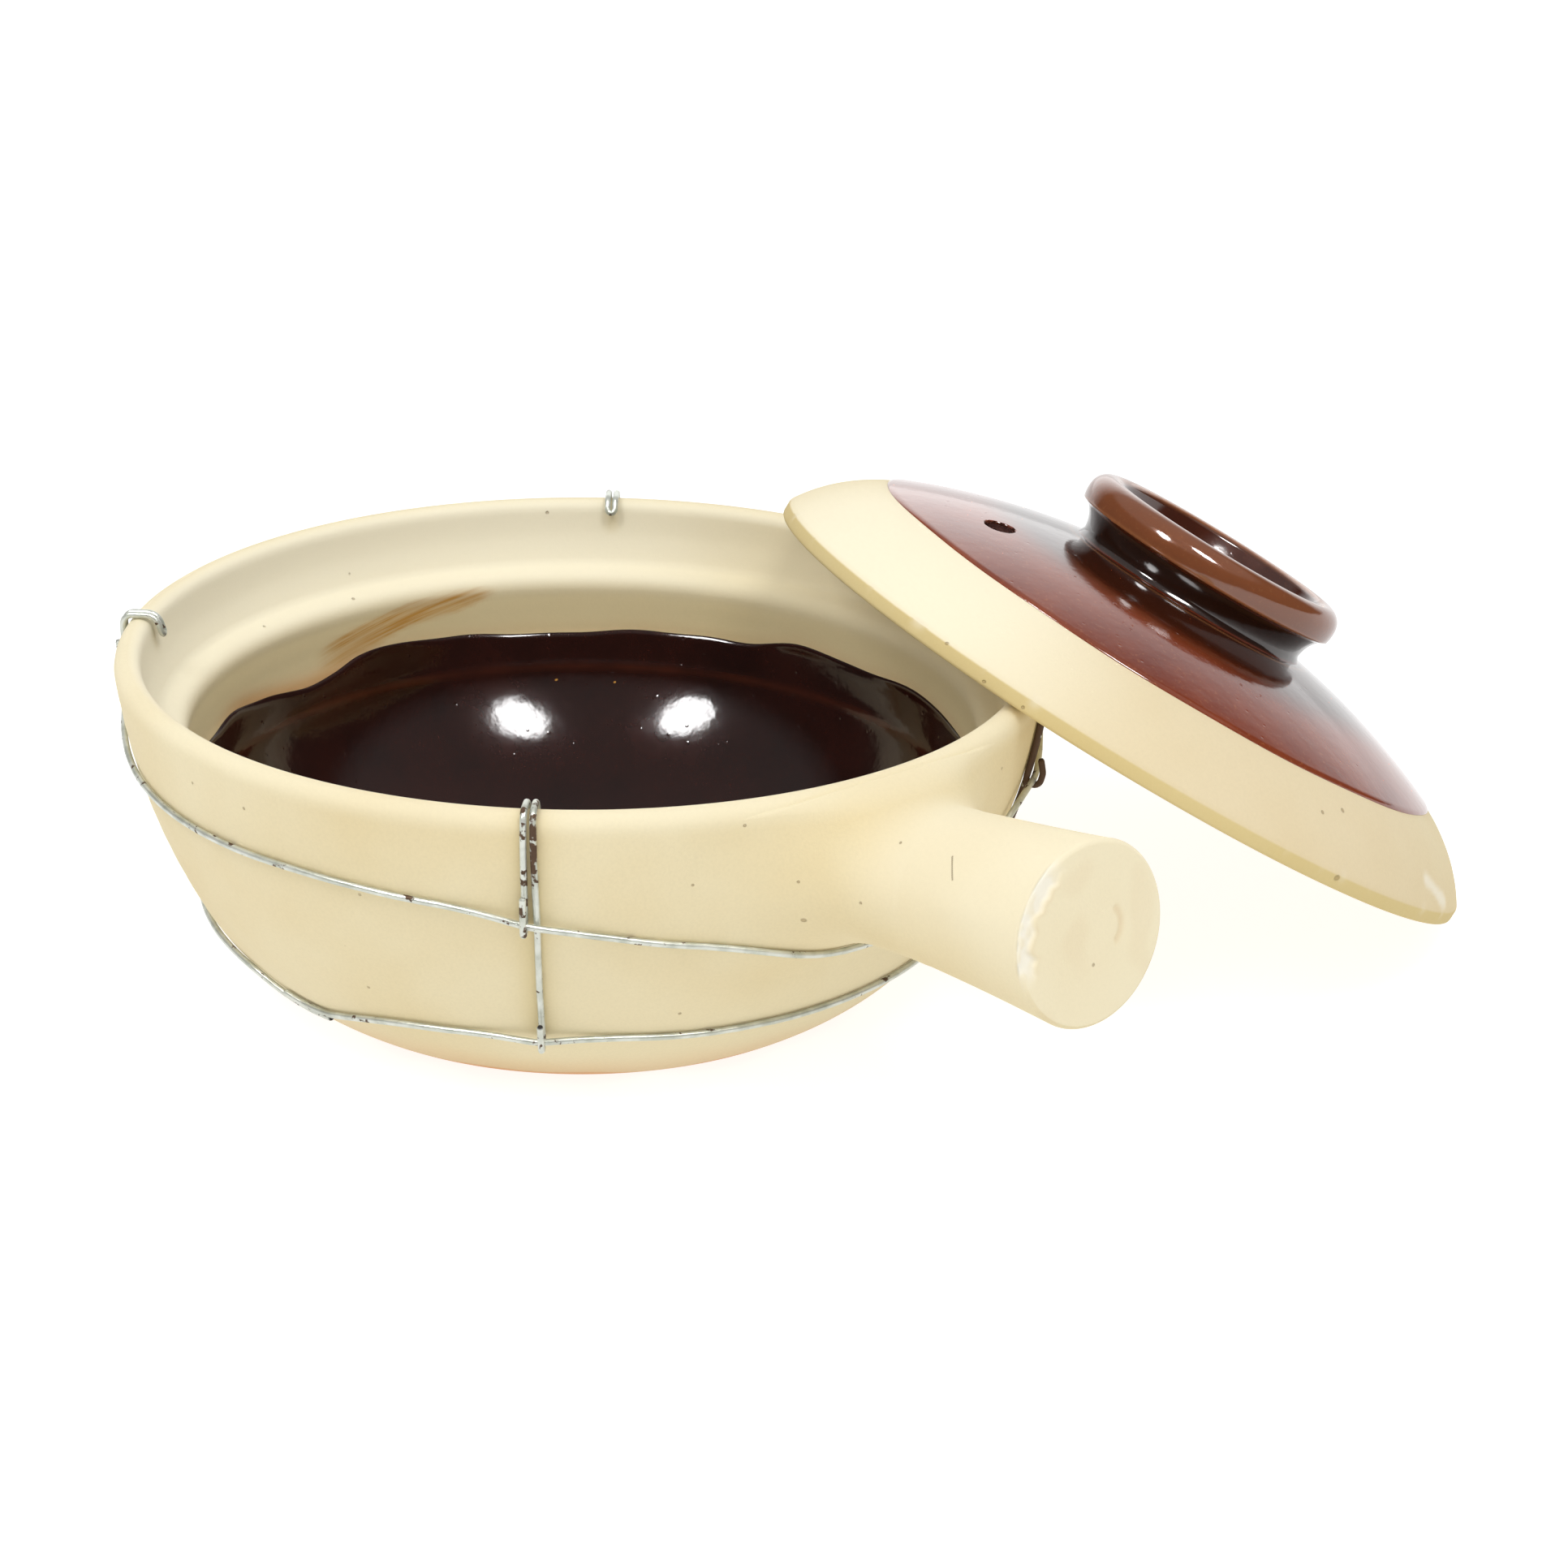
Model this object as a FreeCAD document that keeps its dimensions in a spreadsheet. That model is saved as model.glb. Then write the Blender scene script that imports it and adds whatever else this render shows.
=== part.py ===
import FreeCAD, Part
import Sketcher
import os
from math import atan2, cos, degrees, hypot, pi, radians, sin, sqrt, tan

# A clay cooking pot: a thrown bowl with a glazed inside, a stub handle, a cage of
# galvanised wire, and a domed lid that leans on the rim with its edge on the table.
# The origin is the middle of the foot, +Z is up and the handle points along +X.

# Driving dimensions, in millimetres, and angles in degrees.
SIZES = [
    ("foot_radius", 60.7, "radius of the foot that the pot stands on"),
    ("belly_radius", 84.9, "outside of the wall where the foot's curve ends"),
    ("belly_height", 23.5, "height of that place"),
    ("rim_radius", 100.0, "outside of the rim"),
    ("rim_height", 71.5, "height of the middle of the lip's round"),
    ("lip_round", 2.9, "radius of the rounded lip"),
    ("foot_curve", 56.7, "radius of the wall's curve between the foot and the belly"),
    ("wall_curve", 131.0, "radius of the wall's curve above the belly"),
    ("gallery_inset", 9.4, "rim's outside to the gallery's wall, at the ledge"),
    ("ledge_drop", 10.9, "lip's middle down to the ledge"),
    ("gallery_curve", 26.0, "hollow of the gallery"),
    ("ledge_fall", 1.4, "fall of the ledge towards the middle"),
    ("shoulder_inset", 12.8, "rim's outside to where the ledge rolls into the wall"),
    ("neck_inset", 15.2, "rim's outside to the wall's inside, under the ledge"),
    ("shoulder_drop", 4.6, "height of the rolled shoulder"),
    ("shoulder_curve", 4.2, "radius of the rolled shoulder"),
    ("glaze_drop", 25.5, "lip's middle down to the edge of the inner glaze"),
    ("throat_inset", 15.9, "rim's outside to the wall's inside, at the glaze's edge"),
    ("throat_curve", 160.0, "curve of the bare wall above the glaze"),
    ("floor_radius", 46.0, "radius where the bowl's side meets its floor"),
    ("floor_middle", 7.6, "height of the floor in the middle"),
    ("bowl_curve", 56.0, "curve of the glazed side"),
    ("dish_curve", 661.0, "curve of the floor"),
    ("glaze", 0.5, "thickness of the glaze"),
    ("handle_height", 45.5, "height at which the handle's axis meets the pot's axis"),
    ("handle_rise", 5.4, "tilt of the handle, in degrees"),
    ("handle_reach", 158.6, "pot's axis to the end of the handle"),
    ("handle_end_radius", 18.9, "radius of the handle's end"),
    ("handle_neck_radius", 15.9, "radius of the handle's neck"),
    ("handle_neck", 16.0, "rim's outside to the neck"),
    ("root_inset", 12.0, "rim's outside to the handle's root, inside the wall"),
    ("root_width", 39.0, "half width of the handle's root"),
    ("root_depth", 18.6, "half height of the handle's root"),
    ("handle_edge", 2.0, "rounding of the handle's end"),
    ("wire", 1.5, "diameter of the cage's wire"),
    ("wire_gap", 0.2, "clearance of the wire from what it passes"),
    ("hook_gap", 0.45, "clearance of a hoop inside a tie's hook"),
    ("lower_hoop_height", 19.8, "height of the lower hoop"),
    ("hook_length", 8.5, "turned-up end of a tie above its hoop"),
    ("tie_spread", 1.25, "half the gap between the two legs, at the hoop"),
    ("tie_hook", 1.6, "reach of a tie's loop down the inside of the lip"),
    ("hoop_lap", 12.0, "lap of a hoop's two ends"),
    ("join_sag", 3.6, "sag of the lower hoop where its ends lap"),
    ("lid_radius", 87.8, "outside of the lid"),
    ("lid_edge", 3.2, "height of the lid's edge"),
    ("lid_edge_round", 0.8, "rounding under the lid's edge"),
    ("band_radius", 70.9, "radius where the lid's bare band meets the glaze"),
    ("crown_height", 32.7, "height of the dome in the middle"),
    ("crown_curve", 175.0, "curve of the glazed dome"),
    ("band_curve", 39.0, "curve of the bare band"),
    ("lid_wall", 7.2, "thickness of the lid"),
    ("lid_seat", 4.0, "width of the flat ring under the lid's edge"),
    ("lid_tilt", 31.3, "lean of the lid, in degrees"),
    ("lid_bearing", 67.1, "direction in which the lid leans, from the handle"),
    ("rest_gap", 0.3, "clearance of the leaning lid from the rim"),
    ("steam_hole", 5.9, "diameter of the steam hole"),
    ("steam_reach", 53.3, "lid's axis to the steam hole"),
    ("steam_bearing", -173.6, "direction of the steam hole, from the lid's low side"),
    ("knob_foot", 29.4, "radius of the ring knob where it meets the dome"),
    ("knob_waist", 28.0, "radius of the knob's waist"),
    ("knob_under", 30.4, "radius under the knob's lip"),
    ("knob_arris", 31.8, "radius of the lip's lower arris"),
    ("knob_lip", 32.0, "largest radius of the knob's lip"),
    ("knob_mouth", 25.2, "inside of the knob's mouth"),
    ("knob_well", 20.5, "radius of the knob's floor"),
    ("knob_height", 45.2, "top of the knob above the lid's edge"),
    ("knob_floor", 34.6, "floor of the knob above the lid's edge"),
    ("knob_waist_height", 32.2, "height of the knob's waist"),
    ("knob_under_height", 37.5, "height of the hollow's top, under the lip"),
    ("knob_arris_height", 38.2, "height of the lip's lower arris"),
    ("knob_lip_height", 41.6, "height where the lip rolls inward"),
    ("knob_mouth_fall", 0.9, "fall of the knob's mouth below its top"),
    ("waist_curve", 4.0, "hollow under the waist"),
    ("flare_curve", 8.0, "hollow above the waist"),
    ("lip_side_curve", 9.0, "roundness of the lip's side"),
    ("lip_top_curve", 4.2, "roundness of the lip's top"),
    ("well_curve", 40.0, "curve of the knob's inside"),
]

doc = FreeCAD.newDocument("ClayCookingPot")
sheet = doc.addObject("Spreadsheet::Sheet", "Sizes")
for row, (name, value, note) in enumerate(SIZES, start=1):
    sheet.set(f"A{row}", name)
    sheet.set(f"B{row}", str(value))
    sheet.setAlias(f"B{row}", name)
    sheet.set(f"C{row}", note)
doc.recompute()

OUTWARD = 1.0
INWARD = -1.0
STRAIGHT = 0.0
FULL_TURN = 360.0
HALF_TURN = 180.0


def size(name):
    """The value of a named size."""
    return float(getattr(sheet, name))


DOME = 1.0
DISH = -1.0
# Heights that follow from a round cap: its height on the axis, its curve, the radius.
ON_CAP = {
    "floor_height": ("floor_middle", "dish_curve", "floor_radius", DISH),
    "band_height": ("crown_height", "crown_curve", "band_radius", DOME),
    "knob_seat": ("crown_height", "crown_curve", "knob_foot", DOME),
    "floor_glaze": (
        "floor_middle glaze", "dish_curve -glaze", "floor_radius -glaze", DISH
    ),
    "band_glaze": ("crown_height glaze", "crown_curve glaze", "band_radius", DOME),
    "knob_glaze": ("crown_height glaze", "crown_curve glaze", "knob_foot", DOME),
    "underside_height": (
        "crown_height -lid_wall", "crown_curve -lid_wall", "band_radius -lid_seat", DOME
    ),
}


def amount(terms):
    """Add up named sizes, such as "rim_radius -lip_round"."""
    total = 0.0
    for term in terms.split():
        sign = -1.0 if term.startswith("-") else 1.0
        name = term.lstrip("-")
        if name in ON_CAP:
            top, curve, radius, way = ON_CAP[name]
            fall = amount(curve) - sqrt(amount(curve) ** 2 - amount(radius) ** 2)
            total += sign * (amount(top) - way * fall)
        else:
            total += sign * size(name)
    return total


def formula(terms):
    """The same sum, as an expression on the sheet."""
    text = ""
    for term in terms.split():
        sign = "-" if term.startswith("-") else "+"
        name = term.lstrip("-")
        value = f"Sizes.{name}"
        if name in ON_CAP:
            top, curve, radius, way = ON_CAP[name]
            bend = formula(curve)
            fall = f"(({bend}) - sqrt(({bend}) ^ 2 - ({formula(radius)}) ^ 2))"
            value = f"(({formula(top)}) {'-' if way == DOME else '+'} {fall})"
        text += f" {sign} {value}"
    return text.strip(" +")


def arc_middle(start, end, radius, side):
    """The middle of an arc from start to end that bulges to the right (1) or left (-1)."""
    chord = end - start
    half = chord.Length / 2
    sagitta = radius - sqrt(radius * radius - half * half)
    across = FreeCAD.Vector(chord.y, -chord.x, 0).normalize()
    return start + chord / 2 + across * (side * sagitta)


def edge_end(sketch, edge, corner):
    """Which end of a sketch edge, 1 or 2, lies at a corner."""
    gaps = [sketch.getPoint(edge, end).distanceToPoint(corner) for end in (1, 2)]
    return 1 + gaps.index(min(gaps))


def hold(sketch, kind, edge, end, terms, name):
    """Tie one coordinate of a corner to the sheet, or to the axis where it is zero."""
    axis_line = {"DistanceX": -2, "DistanceY": -1}
    if not terms:
        sketch.addConstraint(Sketcher.Constraint("PointOnObject", edge, end, axis_line[kind]))
        return
    held = Sketcher.Constraint(kind, -1, 1, edge, end, amount(terms))
    index = sketch.addConstraint(held)
    sketch.renameConstraint(index, name)
    sketch.setExpression(f"Constraints.{name}", formula(terms))


def origin_plane(body, role):
    """One of a body's own origin planes."""
    return next(plane for plane in body.Origin.OriginFeatures if plane.Role == role)


def attached_sketch(body, name, role):
    """An empty sketch on one of a body's origin planes."""
    sketch = body.newObject("Sketcher::SketchObject", name)
    sketch.AttachmentSupport = [(origin_plane(body, role), "")]
    sketch.MapMode = "FlatFace"
    return sketch


def draw_outline(sketch, corners):
    """Draw a closed outline of (radius, height, curve, side) corners, bound to the sheet.

    The curve and side say how the edge that leaves the corner bends.
    """
    points = [FreeCAD.Vector(amount(c[0]), amount(c[1]), 0) for c in corners]
    count = len(corners)
    for number, (_, _, curve, side) in enumerate(corners):
        start = points[number]
        end = points[(number + 1) % count]
        if side == STRAIGHT:
            sketch.addGeometry(Part.LineSegment(start, end), False)
            continue
        middle = arc_middle(start, end, amount(curve), side)
        sketch.addGeometry(Part.Arc(start, middle, end), False)
    for number, (across, up, curve, side) in enumerate(corners):
        corner = points[number]
        before = (number - 1) % count
        end = edge_end(sketch, number, corner)
        meets = edge_end(sketch, before, corner)
        sketch.addConstraint(Sketcher.Constraint("Coincident", before, meets, number, end))
        hold(sketch, "DistanceX", number, end, across, f"across{number}")
        hold(sketch, "DistanceY", number, end, up, f"up{number}")
        if side == STRAIGHT:
            continue
        index = sketch.addConstraint(Sketcher.Constraint("Radius", number, amount(curve)))
        sketch.renameConstraint(index, f"curve{number}")
        sketch.setExpression(f"Constraints.curve{number}", formula(curve))


def turned_body(name, corners):
    """A body turned about the vertical axis from its outline, as on the wheel."""
    body = doc.addObject("PartDesign::Body", name)
    sketch = attached_sketch(body, name + "_outline", "XZ_Plane")
    draw_outline(sketch, corners)
    turned = body.newObject("PartDesign::Revolution", name + "_turned")
    turned.Profile = sketch
    turned.ReferenceAxis = (sketch, ["V_Axis"])
    turned.Angle = FULL_TURN
    sketch.Visibility = False
    return body


# The pot's outer face, from the foot up to the lip.
OUTER_FACE = [
    ("foot_radius", "", "foot_curve", OUTWARD),
    ("belly_radius", "belly_height", "wall_curve", OUTWARD),
]
LIP = [
    ("rim_radius", "rim_height", "lip_round", OUTWARD),
    ("rim_radius -lip_round", "rim_height lip_round", "lip_round", OUTWARD),
]
# The gallery that takes the lid, its ledge, and the glazed bowl below.
INNER_FACE = [
    ("rim_radius -lip_round -lip_round", "rim_height", "gallery_curve", INWARD),
    ("rim_radius -gallery_inset", "rim_height -ledge_drop", "", STRAIGHT),
    (
        "rim_radius -shoulder_inset", "rim_height -ledge_drop -ledge_fall",
        "shoulder_curve", OUTWARD,
    ),
    (
        "rim_radius -neck_inset", "rim_height -ledge_drop -ledge_fall -shoulder_drop",
        "throat_curve", INWARD,
    ),
    ("rim_radius -throat_inset", "rim_height -glaze_drop", "bowl_curve", INWARD),
    ("floor_radius", "floor_height", "dish_curve", INWARD),
    ("", "floor_middle", "", STRAIGHT),
]
FOOT_MIDDLE = [("", "", "", STRAIGHT)]


def make_pot_body():
    """The thrown clay body: foot, wall, lip, gallery and bowl."""
    return turned_body("pot_body", FOOT_MIDDLE + OUTER_FACE + LIP + INNER_FACE)


def make_inner_glaze():
    """The dark glaze that lines the bowl up to the glaze line."""
    return turned_body("inner_glaze", [
        ("", "floor_middle", "dish_curve", OUTWARD),
        ("floor_radius", "floor_height", "bowl_curve", OUTWARD),
        ("rim_radius -throat_inset", "rim_height -glaze_drop", "", STRAIGHT),
        (
            "rim_radius -throat_inset -glaze", "rim_height -glaze_drop",
            "bowl_curve -glaze", INWARD,
        ),
        ("floor_radius -glaze", "floor_glaze", "dish_curve -glaze", INWARD),
        ("", "floor_middle glaze", "", STRAIGHT),
    ])


def make_pot_envelope():
    """The pot's outside as one solid lump, which shapes what is luted onto it."""
    above = [
        ("rim_radius", "rim_height", "", STRAIGHT),
        ("rim_radius", "rim_height root_depth", "", STRAIGHT),
        ("", "rim_height root_depth", "", STRAIGHT),
    ]
    return turned_body("pot_envelope", FOOT_MIDDLE + OUTER_FACE + above)


HANDLE_SECTIONS = 4
FLARE_POWER = 2.2


def handle_section(number, place, half_width, half_depth):
    """One oval section of the handle, square to its rising axis."""
    oval = doc.addObject("Part::Ellipse", f"handle_section{number}")
    rise = FreeCAD.Rotation(FreeCAD.Vector(0, 1, 0), -size("handle_rise"))
    face_out = FreeCAD.Rotation(FreeCAD.Vector(1, 1, 1), FULL_TURN / 3)
    oval.Placement.Rotation = rise * face_out
    oval.setExpression("MajorRadius", half_width)
    oval.setExpression("MinorRadius", half_depth)
    angle = "(Sizes.handle_rise * 1 deg)"
    oval.setExpression("Placement.Base.x", f"({place}) * cos{angle}")
    oval.setExpression("Placement.Base.z", f"Sizes.handle_height + ({place}) * sin{angle}")
    return oval


def make_handle(envelope):
    """The stub handle: a clay roll that flares into the wall, with a softened end."""
    neck = "Sizes.handle_neck_radius"
    neck_place = "(Sizes.rim_radius + Sizes.handle_neck)"
    root_length = "(Sizes.handle_neck + Sizes.root_inset)"
    sections = []
    for number in range(HANDLE_SECTIONS):
        share = 1.0 - number / (HANDLE_SECTIONS - 1)
        flare = share ** FLARE_POWER
        place = f"{neck_place} - {root_length} * {share}"
        half_width = f"{neck} + (Sizes.root_width - {neck}) * {flare}"
        half_depth = f"{neck} + (Sizes.root_depth - {neck}) * {flare}"
        sections.append(handle_section(number, place, half_width, half_depth))
    end = "Sizes.handle_end_radius"
    middle_place = f"({neck_place} + Sizes.handle_reach) / 2"
    middle_radius = f"({neck} + {end}) / 2"
    sections.append(handle_section("_middle", middle_place, middle_radius, middle_radius))
    sections.append(handle_section("_end", "Sizes.handle_reach", end, end))
    roll = doc.addObject("Part::Loft", "handle_roll")
    roll.Sections = sections
    roll.Solid = True
    luted = doc.addObject("Part::Cut", "handle_luted")
    luted.Base = roll
    luted.Tool = envelope
    doc.recompute()
    far = max(edge.CenterOfMass.x for edge in luted.Shape.Edges)
    rim = [
        number for number, edge in enumerate(luted.Shape.Edges, start=1)
        if abs(edge.CenterOfMass.x - far) < size("wire")
    ]
    handle = doc.addObject("Part::Fillet", "handle")
    handle.Base = luted
    handle.Edges = [(number, size("handle_edge"), size("handle_edge")) for number in rim]
    return handle


def arc_centre(start, end, radius):
    """The middle of the circle whose arc bulges away from the pot's axis."""
    chord = (end[0] - start[0], end[1] - start[1])
    length = hypot(chord[0], chord[1])
    back = sqrt(radius * radius - length * length / 4)
    middle = ((start[0] + end[0]) / 2, (start[1] + end[1]) / 2)
    return (middle[0] - chord[1] / length * back, middle[1] + chord[0] / length * back)


def wall_arc(height):
    """Centre and radius of the arc that the pot's outer face follows at a height."""
    foot = (size("foot_radius"), 0.0)
    belly = (size("belly_radius"), size("belly_height"))
    rim = (size("rim_radius"), size("rim_height"))
    if height < size("belly_height"):
        return arc_centre(foot, belly, size("foot_curve")), size("foot_curve")
    return arc_centre(belly, rim, size("wall_curve")), size("wall_curve")


def outer_wall(height, stand_off):
    """Radius at a height of a line that runs at a distance from the pot's outer face."""
    centre, radius = wall_arc(height)
    reach = radius + stand_off
    return centre[0] + sqrt(reach * reach - (height - centre[1]) ** 2)


def off_wall(height, along, stand_off):
    """Radius and height of a place by a hoop, moved up along the wall and off it."""
    centre, radius = wall_arc(height)
    level = atan2(height - centre[1], outer_wall(height, 0.0) - centre[0])
    start = (outer_wall(height, crossing_stand_off()), height)
    out = (cos(level), sin(level))
    return (
        start[0] + out[0] * stand_off - out[1] * along,
        start[1] + out[1] * stand_off + out[0] * along,
    )


def spot(bearing, radius, height):
    """A point from its bearing in degrees, its distance from the axis and its height."""
    angle = radians(bearing)
    return FreeCAD.Vector(radius * cos(angle), radius * sin(angle), height)


SHORTEST_RUN = 0.001
LARGEST_SHARE = 0.48


def bent_wire(points, bends):
    """A path of straight runs joined by tangent arcs; a bend of None is as large as fits."""
    edges = []
    last = points[0]
    for number in range(1, len(points) - 1):
        corner = points[number]
        back = points[number - 1] - corner
        on = points[number + 1] - corner
        turn = pi - back.getAngle(on)
        room = LARGEST_SHARE * min(back.Length, on.Length)
        reach = room
        if bends[number] is not None:
            reach = min(room, bends[number] * tan(turn / 2))
        back.normalize()
        on.normalize()
        start = corner + back * reach
        end = corner + on * reach
        radius = reach / tan(turn / 2)
        inward = (back + on).normalize()
        middle = corner + inward * (hypot(radius, reach) - radius)
        if last.distanceToPoint(start) > SHORTEST_RUN:
            edges.append(Part.LineSegment(last, start).toShape())
        edges.append(Part.Arc(start, middle, end).toShape())
        last = end
    edges.append(Part.LineSegment(last, points[-1]).toShape())
    return Part.Wire(edges)


def drawn_wire(name, path):
    """A round wire along a path, closed at both ends."""
    start = path.Edges[0].valueAt(path.Edges[0].FirstParameter)
    along = path.Edges[0].tangentAt(path.Edges[0].FirstParameter)
    ring = Part.Wire([Part.Circle(start, along, size("wire") / 2).toShape()])
    wire = doc.addObject("Part::Feature", name)
    wire.Shape = path.makePipeShell([ring], True, False)
    wire.Placement = FreeCAD.Placement()
    section = pi * size("wire") ** 2 / 4
    print(name, "volume against section times length",
          round(wire.Shape.Volume / (section * path.Length), 4))
    return wire


# The course of the upper hoop round the pot, as bearing from the handle and drop. Most
# of it is measured down from the rim. Under the handle's root the wire is pulled down,
# and is measured down from the handle's axis.
UPPER_COURSE = [
    (-180.0, "rim_height", 10.0), (-140.0, "rim_height", 10.5),
    (-106.0, "rim_height", 12.9), (-84.0, "rim_height", 15.9),
    (-66.0, "rim_height", 17.9), (-44.0, "rim_height", 22.1),
    (-30.0, "rim_height", 26.9), (-18.0, "handle_height", 6.3),
    (-6.0, "handle_height", 11.7), (6.0, "handle_height", 14.5),
    (14.0, "handle_height", 12.7), (24.0, "handle_height", 2.9),
    (36.0, "rim_height", 17.9), (56.0, "rim_height", 12.9),
    (90.0, "rim_height", 10.5), (140.0, "rim_height", 9.5),
]
# Each tie: name, then its bearing at the rim, at the upper hoop and at the lower hoop.
TIES = [
    ("front_tie", -44.3, -44.2, -43.6),
    ("left_tie", -135.5, -137.0, -138.0),
    ("back_tie", 138.5, 138.5, 138.0),
    ("right_tie", 36.8, 36.6, 36.4),
]


def either_side(bearing):
    """The same bearing, from half a turn before the handle to half a turn after it."""
    return (bearing + HALF_TURN) % FULL_TURN - HALF_TURN


def upper_height(bearing):
    """Height of the upper hoop at a bearing, on a smooth curve through its course."""
    around = either_side(bearing)
    count = len(UPPER_COURSE)
    index = max(number for number in range(count) if UPPER_COURSE[number][0] <= around)

    def knot(number):
        lap, place = divmod(number, count)
        course_bearing, above, drop = UPPER_COURSE[place]
        return (course_bearing + lap * FULL_TURN, size(above) - drop)

    before, start, end, after = (knot(index + step) for step in (-1, 0, 1, 2))
    span = end[0] - start[0]
    start_slope = (end[1] - before[1]) / (end[0] - before[0]) * span
    end_slope = (after[1] - start[1]) / (after[0] - start[0]) * span
    way = (around - start[0]) / span
    rise = way * way * (3.0 - 2.0 * way)
    return (start[1] + (end[1] - start[1]) * rise
            + start_slope * way * (1.0 - way) ** 2 - end_slope * way * way * (1.0 - way))


# Bearings at which the ends of the hoops lap, the upper one at the back, and how far
# to each side the lower hoop sags there.
UPPER_JOIN = 168.0
LOWER_JOIN = -84.0
SAG_MIDDLE = -78.0
SAG_REACH = 17.5
QUARTER_TURN = 90.0


def lower_height(bearing):
    """Height of the lower hoop, which lies level but for the sag at its join."""
    away = min(abs(either_side(bearing - SAG_MIDDLE)), SAG_REACH)
    share = cos(radians(QUARTER_TURN * away / SAG_REACH)) ** 2
    return size("lower_hoop_height") - size("join_sag") * share


def wall_stand_off():
    """How far a wire's middle stands off the wall that it lies on."""
    return size("wire") / 2 + size("wire_gap")


def crossing_stand_off():
    """How far a hoop's middle stands off the wall where it passes over a tie."""
    return wall_stand_off() + size("wire") + size("hook_gap")


HOOP_STEP = 6.0
ABOVE = 1.0
BELOW = -1.0
OVER_TIE = 2.6
BESIDE_TIE = 7.5


def hoop(name, height_at, crossings, join_bearing, side):
    """A hoop that hugs the wall and steps out over each tie.

    Its last end laps over or under the first, whichever the side says.
    """
    stations = []
    for crossing in crossings:
        for offset in (-OVER_TIE, OVER_TIE):
            stations.append((crossing + offset, crossing_stand_off()))
        for offset in (-BESIDE_TIE, BESIDE_TIE):
            stations.append((crossing + offset, wall_stand_off()))
    count = int(FULL_TURN / HOOP_STEP)
    start = join_bearing - FULL_TURN
    for number in range(1, count):
        bearing = start + number * HOOP_STEP
        apart = [abs(either_side(bearing - crossing)) for crossing in crossings]
        if min(apart) > BESIDE_TIE + HOOP_STEP / 2:
            stations.append((bearing, wall_stand_off()))
    stations = [((b - start) % FULL_TURN + start, out) for b, out in stations]
    stations.sort()
    stations = [(start, wall_stand_off())] + stations
    points = []
    for bearing, out in stations:
        height = height_at(bearing)
        radius = outer_wall(height, out) / cos(radians(HOOP_STEP / 2))
        points.append(spot(bearing, radius, height))
    lap = degrees(size("hoop_lap") / outer_wall(height_at(start), wall_stand_off()))
    for bearing in (join_bearing, join_bearing + lap):
        height = height_at(bearing) + side * (size("wire") + size("wire_gap"))
        points.append(spot(bearing, outer_wall(height, wall_stand_off()), height))
    return drawn_wire(name, bent_wire(points, [None] * len(points)))


WALL_STATIONS = 8


def leg(bearings, offset, hook_height_at, through):
    """Points and bends of one tie leg, from over the rim down to its hook."""
    rim_bearing, upper_bearing, lower_bearing = bearings
    bend = size("wire") + size("hook_gap")
    top = size("rim_height")
    lip = size("lip_round") + wall_stand_off()
    lip_middle = size("rim_radius") - size("lip_round")
    spread = degrees(size("tie_spread") / size("rim_radius")) * offset
    near = degrees(wall_stand_off() / size("rim_radius")) * offset
    points = [
        (spot(rim_bearing + near, lip_middle - lip, top + lip), lip),
        (spot(rim_bearing + near, lip_middle + lip, top + lip), lip),
    ]
    upper = upper_height(upper_bearing)
    for number in range(1, WALL_STATIONS):
        share = number / WALL_STATIONS
        height = top + (upper - top) * share
        bearing = rim_bearing + near + (upper_bearing + spread - rim_bearing - near) * share
        points.append((spot(bearing, outer_wall(height, wall_stand_off()), height), None))
    hook_bearing = upper_bearing + spread
    if through:
        lower = hook_height_at(lower_bearing)
        for number in range(WALL_STATIONS):
            share = number / WALL_STATIONS
            height = upper + (lower - upper) * share
            bearing = upper_bearing + spread + (lower_bearing - upper_bearing) * share
            points.append((spot(bearing, outer_wall(height, wall_stand_off()), height), None))
        hook_bearing = lower_bearing + spread
    hoop_height = hook_height_at(hook_bearing)
    tip = size("hook_length") - bend
    course = [(bend, -bend, None), (-bend, -bend, bend), (-bend, bend, bend), (tip, bend, None)]
    for along, stand_off, curve in course:
        radius, height = off_wall(hoop_height, along, stand_off)
        points.append((spot(hook_bearing, radius, height), curve))
    return points


def make_tie(name, *bearings):
    """A wire bent double over the rim; one leg hooks each hoop."""
    left = leg(bearings, INWARD, upper_height, False)
    right = leg(bearings, OUTWARD, lower_height, True)
    rim_bearing = bearings[0]
    near = degrees(wall_stand_off() / size("rim_radius"))
    inside = size("rim_radius") - 2 * size("lip_round") - wall_stand_off()
    tip_height = size("rim_height") - size("tie_hook")
    loop = [
        (spot(rim_bearing - near, inside - size("lip_round") / 2, tip_height), wall_stand_off()),
        (spot(rim_bearing + near, inside - size("lip_round") / 2, tip_height), wall_stand_off()),
    ]
    course = left[::-1] + loop + right
    points = [point for point, _ in course]
    bends = [bend for _, bend in course]
    return drawn_wire(name, bent_wire(points, bends))


# The lid is modelled lying level, with its flat ring on the table, then leaned.
LID_TOP = [
    ("lid_radius", "lid_edge", "band_curve", OUTWARD),
    ("band_radius", "band_height", "crown_curve", OUTWARD),
    ("", "crown_height", "", STRAIGHT),
]


def make_lid_body():
    """The clay lid: a hollow dome with a flat ring under its edge."""
    body = turned_body("lid_body", LID_TOP + [
        ("", "crown_height -lid_wall", "crown_curve -lid_wall", INWARD),
        ("band_radius -lid_seat", "underside_height", "band_curve -lid_wall", INWARD),
        ("lid_radius -lid_seat", "", "", STRAIGHT),
        ("lid_radius -lid_edge_round", "", "lid_edge_round", OUTWARD),
        ("lid_radius", "lid_edge_round", "", STRAIGHT),
    ])
    return pierced(body)


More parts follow.
